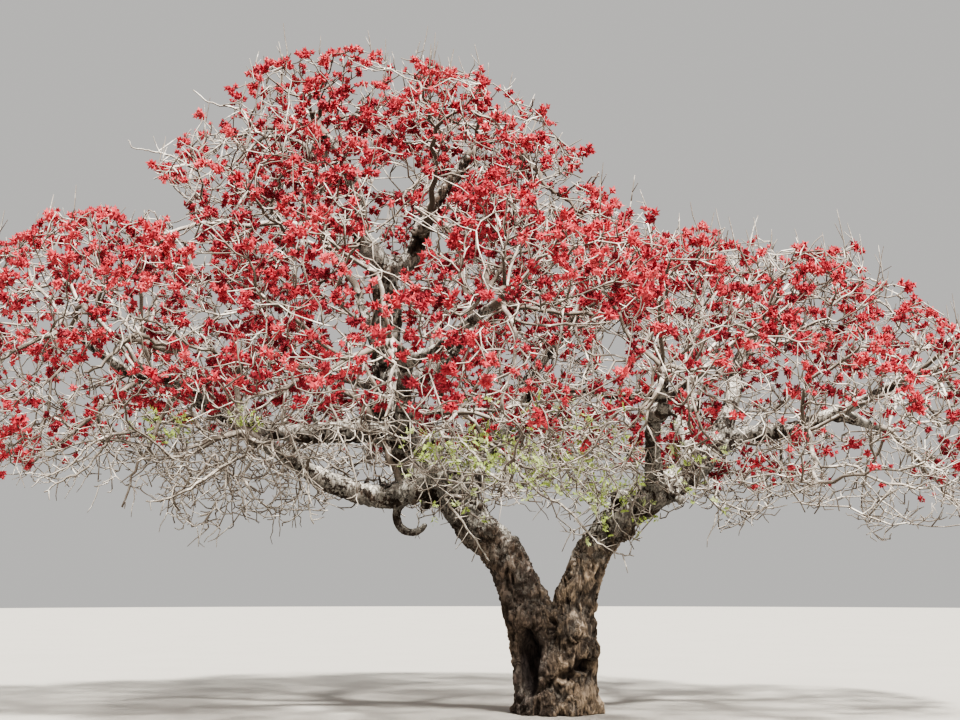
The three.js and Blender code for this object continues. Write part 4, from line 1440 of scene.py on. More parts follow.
def relief_tree():
    """Bark relief: long ridges, knobs and cracks pushed out of the surface."""
    build = geometry_tree("Bark relief")
    build.socket("Ridge depth", "NodeSocketFloat", 0.04)
    build.socket("Knob depth", "NodeSocketFloat", 0.03)
    build.socket("Material", "NodeSocketMaterial")
    source = build.add("NodeGroupInput")
    depth = source.outputs["Ridge depth"]
    place = build.add("GeometryNodeInputPosition").outputs[0]
    normal = build.add("GeometryNodeInputNormal").outputs[0]
    stretched = build.stretched(place, RELIEF["stretch"])
    ridges = build.math("SUBTRACT", build.noise(stretched, *RELIEF["ridges"]), 0.5)
    knobs = build.math("SUBTRACT", build.noise(place, *RELIEF["knobs"]), 0.5)
    grain = build.math("SUBTRACT", build.noise(stretched, *RELIEF["grain"]), 0.5)
    folded = build.product(build.math("ABSOLUTE", ridges), RELIEF["fold"])
    ridge_push = build.product(build.math("SUBTRACT", RELIEF["crest"], folded), depth)
    knob_push = build.product(source.outputs["Knob depth"], RELIEF["knob_gain"], knobs)
    push = build.math("ADD", build.math("ADD", ridge_push, knob_push), build.product(grain, depth))
    toned = build.add("GeometryNodeStoreNamedAttribute", {
        "Geometry": source.outputs["Geometry"], "Name": "relief",
        "Value": build.math("DIVIDE", push, depth)}, data_type="FLOAT", domain="POINT").outputs[0]
    share = build.ramp(build.named("girth"), *RELIEF["girths"])
    total = build.math("SUBTRACT", build.product(push, share), build.named("hollow"))
    offset = build.add("ShaderNodeVectorMath", {0: normal, "Scale": total}, operation="SCALE").outputs[0]
    pushed = build.add("GeometryNodeSetPosition", {"Geometry": toned, "Offset": offset}).outputs[0]
    smooth = build.add("GeometryNodeSetShadeSmooth", {"Geometry": pushed, "Shade Smooth": True}).outputs[0]
    end_tree(build, source, smooth)
    return build.tree


def with_relief(made, material):
    """A mesh of bark with its relief pushed out."""
    ridge = bpy.context.scene.tree_bark.ridge
    return grown_by(made, relief_tree(), {
        "Ridge depth": ridge, "Knob depth": ridge * RELIEF["knob_share"], "Material": material})


# Shader groups and materials

def speckle_group():
    """Two colours in soft patches and grains: lichen on bark, or dust in a crack."""
    build = NodeTree(fresh(bpy.data.node_groups, "Patches and grains", "ShaderNodeTree"))
    build.socket("Vector", "NodeSocketVector")
    build.socket("Patch scale", "NodeSocketFloat", 3.0)
    build.socket("Grain scale", "NodeSocketFloat", 30.0)
    build.socket("Amount", "NodeSocketFloat", 0.5)
    build.socket("Edge", "NodeSocketFloat", 0.045)
    build.socket("Mask", "NodeSocketFloat", output=True)
    build.socket("Grain", "NodeSocketFloat", output=True)
    given = build.add("NodeGroupInput").outputs
    patch = build.noise(given["Vector"], given["Patch scale"], *SPECKLE["patch"])
    grain = build.noise(given["Vector"], given["Grain scale"], *SPECKLE["grain"])
    both = build.math("ADD", *(build.product(n, share) for n, share in zip((patch, grain), SPECKLE["mix"])))
    low = build.math("SUBTRACT", SPECKLE["high"], build.product(given["Amount"], SPECKLE["drop"]))
    edge = given["Edge"]
    mask = build.ramp(both, build.math("SUBTRACT", low, edge), build.math("ADD", low, edge))
    build.add("NodeGroupOutput", {"Mask": mask, "Grain": grain})
    return build.tree


def cracks_group():
    """Long cracks down the bark, as a mask and a height."""
    build = NodeTree(fresh(bpy.data.node_groups, "Bark cracks", "ShaderNodeTree"))
    build.socket("Vector", "NodeSocketVector")
    build.socket("Scale", "NodeSocketFloat", 16.0)
    build.socket("Crack", "NodeSocketFloat", output=True)
    build.socket("Height", "NodeSocketFloat", output=True)
    given = build.add("NodeGroupInput").outputs
    stretched = build.stretched(given["Vector"], CRACKS["stretch"])
    noise = build.noise(stretched, given["Scale"], *CRACKS["noise"])
    folded = build.math("ABSOLUTE", build.math("SUBTRACT", noise, 0.5))
    crack = build.ramp(folded, 0.0, CRACKS["width"], 1.0, 0.0)
    grain = build.noise(given["Vector"], *CRACKS["grain"])
    height = build.math("SUBTRACT", build.product(grain, 0.5), crack)
    build.add("NodeGroupOutput", {"Crack": crack, "Height": height})
    return build.tree


def new_material(name, roughness):
    material = fresh(bpy.data.materials, name)
    material.use_nodes = True
    material.node_tree.nodes.clear()
    build = NodeTree(material.node_tree)
    shader = build.add("ShaderNodeBsdfPrincipled", {"Roughness": roughness, "Specular IOR Level": 0.25})
    build.add("ShaderNodeOutputMaterial", {"Surface": shader.outputs[0]})
    place = build.add("ShaderNodeTexCoord").outputs["Object"]
    return material, build, shader, place


def painted(build, shader, colour, bump=None):
    """Gives a material its colour, and its bump if it has one."""
    build.tree.links.new(colour, shader.inputs["Base Color"])
    if bump:
        made = build.add("ShaderNodeBump", bump)
        build.tree.links.new(made.outputs[0], shader.inputs["Normal"])


def rgb(colour, gain=1.0):
    return (*(min(1.0, c * gain) for c in colour), 1.0)


def bark_material(name, trunk_share=True):
    """Cracked bark: brown with pale dust on the trunk, dark with pale lichen mostly on the limbs' upper
    sides; painted sunlight pales the upper sides and the trunk's right side, and painted shade darkens its
    left side, creases, cracks and hollows.
    """
    material, build, shader, place = new_material(name, 0.92)
    settings = bpy.context.scene.tree_bark
    speckle, cracks = groups()
    relief, upper, hollow = (build.stored(key) for key in ("relief", "upper", "hollow"))
    spot = build.add("ShaderNodeSeparateXYZ", {0: place}).outputs
    crack = build.group(cracks, {"Vector": place, "Scale": 15.0})
    lichen = build.group(speckle, {
        "Vector": place, "Patch scale": 4.6, "Grain scale": 24.0, "Amount": 0.52, "Edge": 0.02})
    dust = build.group(speckle, {
        "Vector": place, "Patch scale": 1.7, "Grain scale": 19.0, "Amount": 0.5, "Edge": 0.09})
    limb = build.ramp(spot["Z"], *BARK["limbs"]) if trunk_share else 1.0
    tone = build.ramp(build.noise(place, 1.9, 3.0), *BARK["tones"])

    def toned(colour, dark, light):
        return build.mix(tone, rgb(colour, dark), rgb(colour, light))

    browner = toned(settings.trunk_colour, 0.55, 1.25)
    # Painted shade: the trunk's left side, away from the sun, takes the darker colours
    trunk = build.mix(build.ramp(spot["X"], *BARK["side"]), build.mix(tone, *SHADED_SIDE), browner)
    lower = toned(settings.limb_colour, 0.5, 1.3)
    higher = toned(settings.limb_colour, 1.1, 2.6)
    limbs = build.mix(build.ramp(spot["Z"], *BARK["high_limbs"]), lower, higher)
    raised = build.ramp(relief, *BARK["raised"])
    # Painted shade: the low parts of the relief, in its creases, are darker
    creases = build.mix(limb, rgb(settings.trunk_colour, 0.32), rgb(settings.limb_colour, 0.5))
    ridged = build.mix(raised, creases, build.mix(limb, trunk, limbs))
    # Pale dust on the raised bark of the trunk, laid mostly on its right side and lower right foot where the
    # sun falls: dust and painted sunlight
    foot = build.product(build.ramp(spot["Z"], *BARK["foot"]), build.ramp(spot["X"], *BARK["foot_side"]))
    dust_and_sunlit_side = build.product(dust["Mask"], build.ramp(spot["X"], *BARK["dust_side"]))
    dust_and_sunlight = build.math("MAXIMUM", dust_and_sunlit_side, build.product(foot, BARK["foot_dust_and_sun"]))
    trunk_only = build.product(build.math("SUBTRACT", 1.0, limb), BARK["dust"])
    dust_and_sunlit_bark = build.mix(build.product(dust_and_sunlight, raised, trunk_only), ridged, rgb(settings.dust_and_sunlit_colour))
    # Lichen and painted sunlight: the upper sides take most of the lichen patches, and their raised bark is
    # painted pale as if lit
    facing = build.ramp(upper, *BARK["facing"])
    most, least = BARK["lichen"]
    patchy = build.product(lichen["Mask"], build.math("ADD", build.product(facing, most), least))
    lit = build.product(facing, BARK["lit"], raised)
    most, least = BARK["pale"]
    on_limbs = build.math("ADD", build.product(limb, most), least)
    pale_share = build.product(build.math("MAXIMUM", patchy, lit), on_limbs)
    pale = build.mix(pale_share, dust_and_sunlit_bark, rgb(settings.lichen_and_sunlit_colour))
    # Painted shade: the cracks and hollows turn nearly black
    cracked = build.mix(build.product(crack["Crack"], BARK["crack"]), pale, CRACK_SHADE)
    hollowed = build.mix(build.ramp(hollow, *BARK["hollow"]), cracked, HOLLOW_SHADE)
    painted(build, shader, hollowed, {"Strength": 0.8, "Distance": 0.02, "Height": crack["Height"]})
    return material


def twig_material(name):
    """Pale smooth bark with darker patches and some darker twigs, and painted shade on the under side."""
    material, build, shader, place = new_material(name, 0.85)
    colour = bpy.context.scene.tree_bark.twig_colour
    speckle, _ = groups()
    patch = build.group(speckle, {
        "Vector": place, "Patch scale": 6.5, "Grain scale": 34.0, "Amount": 0.55, "Edge": 0.03})
    plain = build.mix(build.stored("tone"), rgb(colour), rgb(DARK_TWIG))
    patched = build.mix(build.product(patch["Mask"], 0.6), plain, rgb(DARK_TWIG, 1.2))
    # Painted shade: the under sides of the twigs turn dark
    shade = build.mix(build.ramp(build.stored("upper"), 0.2, 0.6), rgb(DARK_TWIG, 0.75), patched)
    painted(build, shader, shade, {"Strength": 0.4, "Distance": 0.004, "Height": patch["Grain"]})
    return material


def petal_material(name, colour):
    """One plain tint, a little lighter and darker from petal to petal."""
    material, build, shader, place = new_material(name, 0.6)
    speckle, _ = groups()
    patch = build.group(speckle, {"Vector": place, "Patch scale": 9.0, "Grain scale": 45.0, "Amount": 0.5})
    painted(build, shader, build.mix(patch["Grain"], *(rgb(colour, gain) for gain in PETAL_GAINS)))
    return material


# Bark

def ring_frames(line):
    """A ring's cross directions at each point of a line, turned as little as possible."""
    headings = unit(np.gradient(line, axis=0))
    side = np.array([1.0, 0, 0]) if abs(headings[0][2]) > 0.9 else UP
    across = unit(np.cross(side, headings[0]))
    rows = []
    for heading in headings:
        across = unit(across - heading * (across @ heading))
        rows.append((across, np.cross(heading, across)))
    return rows


def tube(line, radii, sides, flute=None):
    """A closed tube with rounded ends: its places and faces."""
    places, faces = [], []
    frames = ring_frames(line)
    turn = np.linspace(0, 2 * np.pi, sides, endpoint=False)
    for i, (at, (across, over)) in enumerate(zip(line, frames)):
        r = radii[i] * (flute(i, turn) if flute else 1)
        places += list(at + np.outer(np.cos(turn) * r, across) + np.outer(np.sin(turn) * r, over))
    for i in range(len(line) - 1):
        for j in range(sides):
            k = (j + 1) % sides
            faces.append((i * sides + j, i * sides + k, (i + 1) * sides + k, (i + 1) * sides + j))
    last = len(line) - 1
    for end, step, ring in ((line[0], line[0] - line[1], 0), (line[-1], line[-1] - line[-2], last)):
        places.append(end + unit(step) * radii[ring] * 0.5)
        for j in range(sides):
            a, b = ring * sides + j, ring * sides + (j + 1) % sides
            faces.append((b, a, len(places) - 1) if ring == 0 else (a, b, len(places) - 1))
    return places, faces


# Hollows and recesses of the trunk: middle, reach each way, and depth
RECESSES = [
    ((-365, -310, 590), (205, 240, 470), 250),
    ((110, -385, 450), (140, 190, 85), 120),
    ((290, -330, 565), (140, 190, 95), 120),
    ((-60, -330, 1010), (75, 200, 230), 85),
    ((335, -260, 1330), (80, 160, 190), 50),
    ((-560, -230, 1500), (90, 160, 220), 50),
    ((60, 420, 480), (150, 200, 240), 110),
]
RECESS_EDGE = (0.45, 1.0)
# The bark's meshes: steps along each kind of wood, sides round it, how lumpy it is, and the stems' flutes
# as how many, how deep and how twisted
STEM_MESH = {"steps": 40, "sides": 32, "flutes": ((5, 0.045, 0.09), (9, 0.03, 0.0))}
ROOT_MESH = {"steps": 16, "sides": 16}
LIMB_MESH = {"steps": 36, "sides": 18, "lumps": 0.26}
BOUGH_MESH = {"steps": 30, "sides": 12, "lumps": 0.25, "parent": 110}
THINNED = 0.62  # the share of the bark's faces that is kept
SMOOTHING = {"factor": 0.5, "iterations": 3}
COLLAR = {"swell": 0.42, "reach": 1.35, "most": 0.96}
LUMPS = {"fewest": 3, "every": 5}
# Knots, and the stubs that some of them carry
KNOT = {
    "count": 5, "from": 5, "room": 8, "size": (0.38, 0.3), "out": 0.72, "stubs": 0.45, "reach": (1.5, 1.3),
    "bend": 0.7, "stray": 20, "steps": 6, "sides": 10, "taper": (0.8, 0.42),
}


def spread_out(values, count):
    """Values at even steps, drawn out over another number of them."""
    return np.interp(np.linspace(0, 1, count), np.linspace(0, 1, len(values)), values)


class Shell:
    """Closed shapes gathered to be fused into one surface."""

    def __init__(self):
        self.places = []
        self.faces = []
        self.girths = []

    def add(self, places, faces, girth):
        start = len(self.places)
        self.places += [np.asarray(p) * MM for p in places]
        self.faces += [tuple(start + v for v in face) for face in faces]
        self.girths += list(np.broadcast_to(np.asarray(girth, float) * MM, len(places)))

    def tube(self, line, radii, sides, flute=None):
        places, faces = tube(line, radii, sides, flute)
        girth = np.concatenate([np.repeat(radii, sides), [radii[0], radii[-1]]])
        self.add(places, faces, girth)

    def ball(self, centre, radius, squash=(1, 1, 1)):
        sphere = bmesh.new()
        bmesh.ops.create_icosphere(sphere, subdivisions=3, radius=1)
        places = [np.array(v.co) * radius * squash + centre for v in sphere.verts]
        faces = [tuple(v.index for v in f.verts) for f in sphere.faces]
        sphere.free()
        self.add(places, faces, radius)


def collared(line, radii, parent_radius):
    """Radii that swell towards the foot, where a limb grows out of its parent."""
    way = np.concatenate([[0], np.cumsum(np.linalg.norm(np.diff(line, axis=0), axis=1))])
    swell = COLLAR["swell"] * np.exp(-((way / (COLLAR["reach"] * parent_radius)) ** 2))
    return np.minimum(radii * (1 + swell), max(parent_radius * COLLAR["most"], radii[0]))


def lumpy(radii, draws, share):
    """Radii with slow swellings along the limb."""
    knots = draws.take(max(LUMPS["fewest"], len(radii) // LUMPS["every"])) - 0.5
    return radii * (1 + share * spread_out(knots, len(radii)))


def fluted(step, turn):
    """How far a stem stands out at each turn round one of its rings."""
    out = 1
    for count, deep, twist in STEM_MESH["flutes"]:
        out = out + deep * np.sin(count * turn + step * twist)
    return out


def trunk_shell(shell):
    for stem in STEMS:
        line = smooth_line(stem["line"], STEM_MESH["steps"])
        shell.tube(line, spread_out(stem["radii"], len(line)), STEM_MESH["sides"], fluted)
    for i in range(ROOT["count"]):
        turn = 2 * math.pi * (i + ROOT["sway"] * math.sin(ROOT["wave"] * i)) / ROOT["count"]
        across, over = math.cos(turn), math.sin(turn)
        knots = [(out * across, out * over, height) for out, height in zip(ROOT["out"], ROOT["height"])]
        line = smooth_line(knots, ROOT_MESH["steps"])
        shell.tube(line, spread_out(ROOT["radius"], len(line)), ROOT_MESH["sides"])
    for centre, radius in BURLS:
        shell.ball(np.array(centre, float), radius)


def limb_shell(shell, wood):
    """The limbs as tubes with collars, slow swellings, knots and the stubs of lost twigs."""
    parents = {name: parent for name, parent, *_ in LIMBS}
    parents[HOOK["name"]] = HOOK["parent"]
    for number, (name, parent) in enumerate(parents.items()):
        draws = seeded("limb_bark", number)
        line = smooth_line(wood.knots[name], LIMB_MESH["steps"])
        radii = lumpy(spread_out(wood.radii[name], len(line)), draws, LIMB_MESH["lumps"])
        radii = collared(line, radii, wood.radii[parent].min())
        shell.tube(line, radii, LIMB_MESH["sides"])
        add_knots(shell, line, radii, draws)


def add_knots(shell, line, radii, draws):
    for _ in range(KNOT["count"]):
        i = KNOT["from"] + int(draws.one() * (len(line) - KNOT["room"]))
        aside = unit(np.cross(line[i] - line[i - 1], draws.stray(1)))
        size = radii[i] * (KNOT["size"][0] + KNOT["size"][1] * draws.one())
        shell.ball(line[i] + aside * radii[i] * KNOT["out"], size)
        if draws.one() < KNOT["stubs"]:
            reach = radii[i] * (KNOT["reach"][0] + KNOT["reach"][1] * draws.one())
            end = line[i] + aside * reach + draws.stray(KNOT["stray"])
            stub = smooth_line([line[i], line[i] + aside * reach * KNOT["bend"], end], KNOT["steps"])
            foot, tip = KNOT["taper"]
            shell.tube(stub, np.linspace(size * foot, size * tip, len(stub)), KNOT["sides"])


def places_of(mesh):
    """The places of a mesh, in millimetres."""
    places = np.zeros(len(mesh.vertices) * 3)
    mesh.vertices.foreach_get("co", places)
    return places.reshape(-1, 3) / MM


def upper_attribute(mesh):
    """How far each place of a mesh faces up, for painted sunlight on the upper side of the bark and painted
    shade under the twigs.
    """
    normals = np.zeros(len(mesh.vertices) * 3)
    mesh.vertex_normals.foreach_get("vector", normals)
    add_attribute(mesh, "upper", "FLOAT", normals.reshape(-1, 3)[:, 2] * 0.5 + 0.5)


def girth_attribute(mesh, wood, at_once=4000):
    """The thickness of the nearest wood, so that thin limbs get a finer relief."""
    places = places_of(mesh)
    starts, ends, radii = wood.segments()
    nearest = np.zeros(len(places))
    for low in range(0, len(places), at_once):
        part = places[low:low + at_once, None]
        gap = segment_gap(part, part, starts[None], ends[None]) - radii
        nearest[low:low + at_once] = radii[gap.argmin(1)]
    add_attribute(mesh, "girth", "FLOAT", nearest * MM)


def hollow_attribute(mesh):
    """How deep each place of the trunk lies in a hollow or a recess of the bark."""
    places = places_of(mesh)
    depth = np.zeros(len(places))
    for middle, size, deep in RECESSES:
        off = np.sqrt((((places - middle) / size) ** 2).sum(1))
        depth = np.maximum(depth, deep * (1 - smoothstep(off, *RECESS_EDGE)))
    add_attribute(mesh, "hollow", "FLOAT", depth * MM)


def cut_at_ground(shape):
    """Cuts a shape flat at the ground and closes the cut."""
    everything = shape.verts[:] + shape.edges[:] + shape.faces[:]
    bmesh.ops.bisect_plane(
        shape, geom=everything, plane_co=(0, 0, 0), plane_no=(0, 0, 1), clear_inner=True, dist=1e-5)
    rim = [e for e in shape.edges if e.is_boundary]
    bmesh.ops.holes_fill(shape, edges=rim, sides=0)
    bmesh.ops.triangulate(shape, faces=[f for f in shape.faces if len(f.verts) > 4])


# Blossom and leaf shapes

def blossom_shape(number, corners):
    """A head of blossom of radius 1: a small core whose faces are drawn out into pointed claws."""
    draws = seeded("heads", number)
    turns = GOLDEN_TURN * np.arange(corners) + draws.take(corners) * HEAD["twist"]
    heights = 1 - 2 * (np.arange(corners) + 0.5) / corners
    across = np.sqrt(1 - heights**2)
    core = np.stack([across * np.cos(turns), across * np.sin(turns), heights], 1)
    hull = bmesh.new()
    for place in core:
        hull.verts.new(place)
    bmesh.ops.convex_hull(hull, input=hull.verts)
    hull.verts.index_update()
    corners_of = [[v.index for v in face.verts] for face in hull.faces]
    hull.free()
    depth = HEAD["core"] + HEAD["uneven"] * (draws.take(corners) - 0.5)
    places = list(core * depth[:, None])
    faces = []
    for a, b, c in corners_of:
        claw = unit(core[a] + core[b] + core[c] + draws.stray(HEAD["sway"]))
        places.append(claw * (HEAD["shortest"] + (1 - HEAD["shortest"]) * draws.one()) + UP * HEAD["lift"])
        tip = len(places) - 1
        faces += [(a, b, tip), (b, c, tip), (c, a, tip)]
    return places, faces


def leaf_shape(number):
    """A spray of leaflets along a curved stalk, each a folded blade with a thickness."""
    draws = seeded("sprays", number)
    places, faces = [], []
    pairs = SPRAY["pairs"]
    for i in range(2 * pairs + 1):
        last = i == 2 * pairs
        share = SPRAY["end"] if last else (i // 2 + 1) / (pairs + 1)
        stalk = UP * (SPRAY["height"] * share) + np.array(SPRAY["stalk"]) * share**2
        turn = (i % 2) * math.pi + SPRAY["turn"] * (draws.one() - 0.5) + SPRAY["twist"] * share
        out = SPRAY["out"][last]
        rise = SPRAY["up"][0] + SPRAY["up"][1] * draws.one()
        heading = unit(np.array([math.cos(turn) * out, math.sin(turn) * out, rise]))
        blade, sides = leaflet(stalk, heading, SPRAY["length"][0] + SPRAY["length"][1] * draws.one())
        faces += [tuple(len(places) + v for v in face) for face in sides]
        places += blade
    return places, faces


def leaflet(start, heading, length):
    """A closed blade, folded along its rib."""
    across = unit(np.cross(heading, UP + 0.01))
    over = np.cross(across, heading)
    middle = start + heading * length * LEAFLET["belly"]
    width = LEAFLET["width"] * length
    rib = middle - over * LEAFLET["fold"] * length
    left, right = middle + across * width, middle - across * width
    under = rib - over * LEAFLET["thickness"] * length
    places = [start, left, rib, right, start + heading * length, under]
    faces = [(0, 2, 1), (0, 3, 2), (4, 1, 2), (4, 2, 3), (0, 1, 5), (0, 5, 3), (4, 5, 1), (4, 3, 5)]
    return places, faces


def shape_collection(name, shapes):
    collection = bpy.data.collections.new(name)
    bpy.context.scene.collection.children.link(collection)
    for number, (places, faces) in enumerate(shapes):
        mesh = mesh_of(f"{name}_{number:02d}", places, faces=faces)
        collection.objects.link(bpy.data.objects.new(mesh.name, mesh))
        outward(mesh)
    return collection


def outward(mesh, change=None):
    """Turns a mesh's faces outwards, after a change to it if one is given."""
    shape = bmesh.new()
    shape.from_mesh(mesh)
    if change:
        change(shape)
    bmesh.ops.recalc_face_normals(shape, faces=shape.faces)
    shape.to_mesh(mesh)
    shape.free()


def drop_collection(collection):
    for shape in list(collection.objects):
        remove_object(shape)
    bpy.data.collections.remove(collection)


def dealt_out(name, heads, collection, size, material):
    """Heads or sprays as one mesh."""
    points = mesh_of(name, [h.at * MM for h in heads])
    turns = []
    for head in heads:
        spin = Quaternion((0, 0, 1), 2 * math.pi * head.spin)
        turns.append(tuple((Vector(head.way).to_track_quat("Z", "Y") @ spin).to_euler()))
    add_attribute(points, "turn", "FLOAT_VECTOR", turns)
    add_attribute(points, "size", "FLOAT", [h.size for h in heads])
    add_attribute(points, "shape", "INT", [h.shape for h in heads])
    made = new_object(name, points)
    return grown_by(made, scatter_tree(), {"Shapes": collection, "Size": size, "Material": material})


# Operators

STATE = {}


def crown():
    if "crown" not in STATE:
        STATE["crown"] = Crown(bpy.context.scene.tree_crown)
    return STATE["crown"]


def groups():
    if "groups" not in STATE:
        STATE["groups"] = (speckle_group(), cracks_group())
    return STATE["groups"]


REGIONS = {
    "left_twigs": ("left_high", "left_low"),
    "top_twigs": ("leader", "left_crown", "right_crown"),
    "right_twigs": ("right_rise", "right_reach"),
    "front_twigs": ("front",),
    "back_twigs": ("back",),
    "centre_twigs": ("centre",),
}
# Sides of a twig's tube, and the radii from and to which it has them
TUBES = ((7, 24, 1e9), (5, 14, 24), (3, 0, 14))
# Each piece of blossom or leaves, its colour's setting, and the tints that it takes
REDS = (
    ("coral_blossom", "coral", 0, 0.14), ("scarlet_blossom", "scarlet", 0.14, 0.36),
    ("crimson_blossom", "crimson", 0.36, 0.58), ("ruby_blossom", "ruby", 0.58, 0.8),
    ("deep_blossom", "deep", 0.8, 1),
)
GREENS = (("fresh_leaves", "fresh_leaf", 0, 0.6), ("pale_leaves", "pale_leaf", 0.6, 1))
FLOOR_DISC = {"segments": 96, "radius": 60, "drop": 0.004, "patches": 0.6}
FLOOR_COLOURS = ((0.43, 0.415, 0.385, 1), (0.47, 0.455, 0.425, 1))
# The soft light: a pale room, dimmer as the camera sees it, and a low sun with its tilts in degrees
LIGHT = {
    "room": (0.80, 0.79, 0.77, 1), "strength": 0.73, "seen": 0.56,
    "sun": 8.0, "size": 6, "colour": (1.0, 0.965, 0.9), "tilts": (32, 13, 0),
}
LENS = {"sensor": 36, "far": 500}


def region_of(name):
    for region, starts in REGIONS.items():
        if name.startswith(starts):
            return region
    raise RuntimeError(f"no region takes the mass on {name}")


class TREE_OT_bark(bpy.types.Operator):
    """Bark with relief over the trunk and the limbs, fused into one surface"""

    bl_idname = "tree.bark"
    bl_label = "Trunk and limbs"

    def execute(self, context):
        wood = crown().wood
        shell = Shell()
        trunk_shell(shell)
        limb_shell(shell, wood)
        made = new_object("trunk_and_limbs", mesh_of("trunk_and_limbs", shell.places, faces=shell.faces))
        remesh = made.modifiers.new("fuse", "REMESH")
        remesh.mode = "VOXEL"
        remesh.voxel_size = context.scene.tree_bark.voxel
        smooth = made.modifiers.new("smooth", "SMOOTH")
        smooth.factor = SMOOTHING["factor"]
        smooth.iterations = SMOOTHING["iterations"]
        baked(made)
        girth_attribute(made.data, wood)
        hollow_attribute(made.data)
        made = with_relief(made, bark_material("Bark"))
        made.modifiers.new("thin", "DECIMATE").ratio = THINNED
        baked(made)
        outward(made.data, cut_at_ground)
        upper_attribute(made.data)
        nodes = ["trunk", HOOK["name"]] + [name for name, *_ in LIMBS]
        finished(made, nodes)
        return {"FINISHED"}


class TREE_OT_boughs(bpy.types.Operator):
    """Boughs between the limbs and the masses of twigs"""

    bl_idname = "tree.boughs"
    bl_label = "Boughs"

    def execute(self, context):
        wood = crown().wood
        names = [s.name for s in crown().sites if "_bough_" in s.name]
        shell = Shell()
        for number, name in enumerate(names):
            line = smooth_line(wood.knots[name], BOUGH_MESH["steps"])
            radii = np.linspace(BOUGH["foot"], BOUGH["end"], len(line))
            radii = lumpy(radii, seeded("bough_bark", number), BOUGH_MESH["lumps"])
            shell.tube(line, collared(line, radii, BOUGH_MESH["parent"]), BOUGH_MESH["sides"])
        made = new_object("boughs", mesh_of("boughs", shell.places, faces=shell.faces))
        outward(made.data)
        add_attribute(made.data, "girth", "FLOAT", shell.girths)
        add_attribute(made.data, "hollow", "FLOAT", np.zeros(len(shell.girths)))
        made = with_relief(made, bark_material("Bough bark", False))
        upper_attribute(made.data)
        finished(made, names)
        return {"FINISHED"}


def line_object(name, paths):
    """Lines as an edge mesh with a radius at each place."""
    places = np.vstack([path for path, *_ in paths]) * MM
    radii = np.concatenate([radii for _, radii, _ in paths]) * MM
    tones = np.concatenate([np.full(len(path), tone) for path, _, tone in paths])
    edges, start = [], 0
    for path, *_ in paths:
        edges += [(start + i, start + i + 1) for i in range(len(path) - 1)]
        start += len(path)
    mesh = mesh_of(name, places, edges=edges)
    add_attribute(mesh, "radius_m", "FLOAT", radii)
    add_attribute(mesh, "tone", "FLOAT", tones)
    return new_object(name, mesh)


class TREE_OT_twigs(bpy.types.Operator):
    """Twigs of each part of the crown, from the boughs' ends to the finest tips"""

    bl_idname = "tree.twigs"
    bl_label = "Twigs"

    def execute(self, context):
        pale = twig_material("Twigs")
        tree = twig_tree()
        for region in REGIONS:
            names = [n for n in crown().twigs if region_of(n) == region]
            paths = [p for n in names for p in crown().twigs[n]]
            parts = []
            for sides, low, high in TUBES:
                some = [p for p in paths if low <= p[1].max() < high]
                if some:
                    made = line_object(f"{region}_{sides}", some)
                    parts.append(grown_by(made, tree, {"Sides": sides, "Thickness": 1.0, "Material": pale}))
            made = joined(region, parts)
            upper_attribute(made.data)
            finished(made, [f"{n}_mass" for n in names])
        return {"FINISHED"}


def deal_out(kinds, things, shapes, size):
    """One piece for each colour, of the heads or sprays with its tints."""
    for name, colour, low, high in kinds:
        some = [thing for thing in things if low <= thing.tint < high]
        tint = getattr(bpy.context.scene.tree_blossom, colour)
        material = petal_material(name.replace("_", " ").capitalize(), tint)
        finished(dealt_out(name, some, shapes, size, material))
    drop_collection(shapes)


class TREE_OT_blossom(bpy.types.Operator):
    """Heads of blossom at the ends of the twigs, in five reds"""

    bl_idname = "tree.blossom"
    bl_label = "Blossom"

    def execute(self, context):
        shapes = shape_collection("head", [blossom_shape(i, n) for i, n in enumerate(HEAD["corners"])])
        deal_out(REDS, crown().heads, shapes, context.scene.tree_crown.blossom_size)
        return {"FINISHED"}


class TREE_OT_leaves(bpy.types.Operator):
    """Sprays of young leaves over the fork"""

    bl_idname = "tree.leaves"
    bl_label = "Young leaves"

    def execute(self, context):
        shapes = shape_collection("spray", [leaf_shape(i) for i in range(SPRAY["kinds"])])
        deal_out(GREENS, crown().sprays, shapes, context.scene.tree_crown.leaf_length)
        return {"FINISHED"}


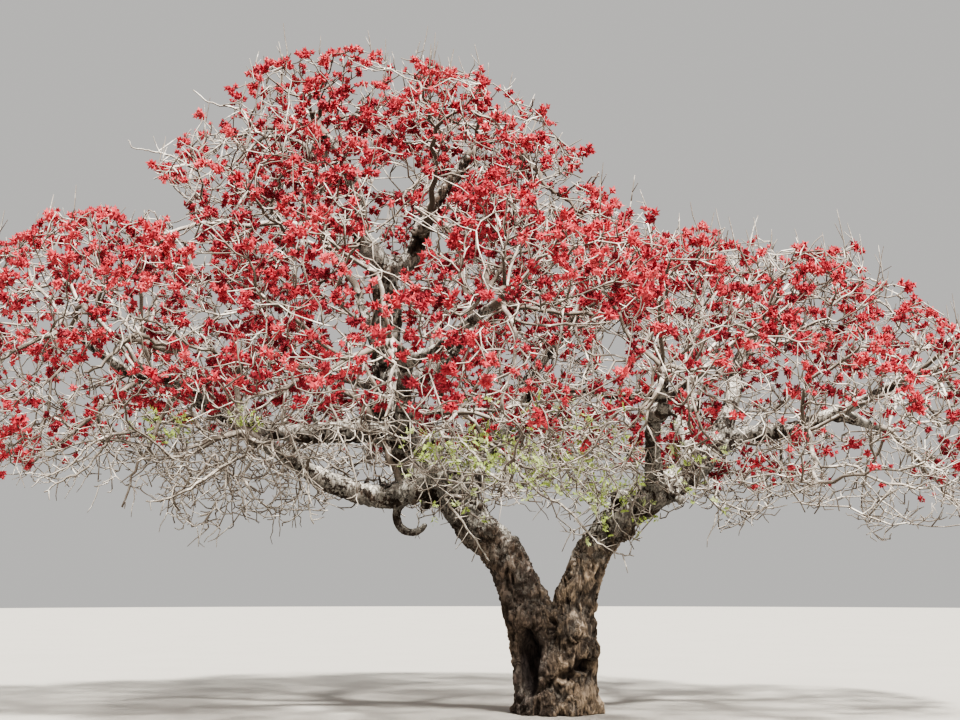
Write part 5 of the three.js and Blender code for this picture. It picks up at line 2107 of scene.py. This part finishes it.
class TREE_OT_stage(bpy.types.Operator):
    """Pale floor, soft light, and the camera at the photograph's angle"""

    bl_idname = "tree.stage"
    bl_label = "Stage"

    def execute(self, context):
        scene = context.scene
        self.add_floor()
        self.add_light(scene)
        self.add_camera(scene)
        return {"FINISHED"}

    def add_floor(self):
        shape = bmesh.new()
        bmesh.ops.create_circle(
            shape, cap_ends=True, segments=FLOOR_DISC["segments"], radius=FLOOR_DISC["radius"])
        mesh = bpy.data.meshes.new("floor")
        shape.to_mesh(mesh)
        shape.free()
        mesh.transform(Matrix.Translation((0, 0, -FLOOR_DISC["drop"])))
        floor = new_object("floor", mesh)
        material, build, shader, place = new_material("Pale floor", 0.9)
        painted(build, shader, build.mix(build.noise(place, FLOOR_DISC["patches"]), *FLOOR_COLOURS))
        mesh.materials.append(material)

    def add_light(self, scene):
        world = bpy.data.worlds.new("Pale room")
        world.use_nodes = True
        build = NodeTree(world.node_tree)
        seen = build.add("ShaderNodeLightPath").outputs["Is Camera Ray"]
        ground = world.node_tree.nodes["Background"]
        ground.inputs["Color"].default_value = LIGHT["room"]
        strength = build.add("ShaderNodeMapRange", {
            "Value": seen, "To Min": LIGHT["strength"], "To Max": LIGHT["seen"]})
        world.node_tree.links.new(strength.outputs[0], ground.inputs["Strength"])
        scene.world = world
        sun = bpy.data.lights.new("key", "SUN")
        sun.energy = LIGHT["sun"]
        sun.angle = math.radians(LIGHT["size"])
        sun.color = LIGHT["colour"]
        lamp = bpy.data.objects.new("key", sun)
        lamp.rotation_euler = [math.radians(tilt) for tilt in LIGHT["tilts"]]
        scene.collection.objects.link(lamp)
        scene.view_settings.view_transform = "AgX"
        scene.view_settings.look = "AgX - High Contrast"

    def add_camera(self, scene):
        camera = bpy.data.cameras.new("camera")
        camera.sensor_width = LENS["sensor"]
        camera.lens = camera.sensor_width * CAMERA["focal"] / CAMERA["width"]
        camera.clip_end = LENS["far"]
        holder = bpy.data.objects.new("camera", camera)
        holder.location = CAMERA["place"]
        holder.rotation_euler = (math.radians(90 + CAMERA["pitch"]), 0, 0)
        scene.collection.objects.link(holder)
        scene.camera = holder


class TREE_PT_panel(bpy.types.Panel):
    """The tree's sizes and colours, and the steps that build it"""

    bl_idname = "TREE_PT_panel"
    bl_label = "Parrot tree"
    bl_space_type = "VIEW_3D"
    bl_region_type = "UI"
    bl_category = "Tree"

    def draw(self, context):
        for settings in (context.scene.tree_bark, context.scene.tree_crown, context.scene.tree_blossom):
            column = self.layout.column(align=True)
            for name in settings.__annotations__:
                column.prop(settings, name)
        for operator in OPERATORS:
            self.layout.operator(operator.bl_idname)


SETTINGS = {"tree_bark": BarkSettings, "tree_crown": CrownSettings, "tree_blossom": BlossomSettings}
OPERATORS = (TREE_OT_bark, TREE_OT_boughs, TREE_OT_twigs, TREE_OT_blossom, TREE_OT_leaves, TREE_OT_stage)


def register():
    for group in SETTINGS.values():
        bpy.utils.register_class(group)
    for name, group in SETTINGS.items():
        setattr(bpy.types.Scene, name, bpy.props.PointerProperty(type=group))
    for cls in (*OPERATORS, TREE_PT_panel):
        bpy.utils.register_class(cls)


def unregister():
    for cls in (TREE_PT_panel, *reversed(OPERATORS)):
        bpy.utils.unregister_class(cls)
    for name, group in SETTINGS.items():
        delattr(bpy.types.Scene, name)
        bpy.utils.unregister_class(group)


def main():
    register()
    bpy.ops.tree.bark()
    bpy.ops.tree.boughs()
    bpy.ops.tree.twigs()
    bpy.ops.tree.blossom()
    bpy.ops.tree.leaves()
    bpy.ops.tree.stage()
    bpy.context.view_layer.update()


if __name__ == "__main__":
    main()
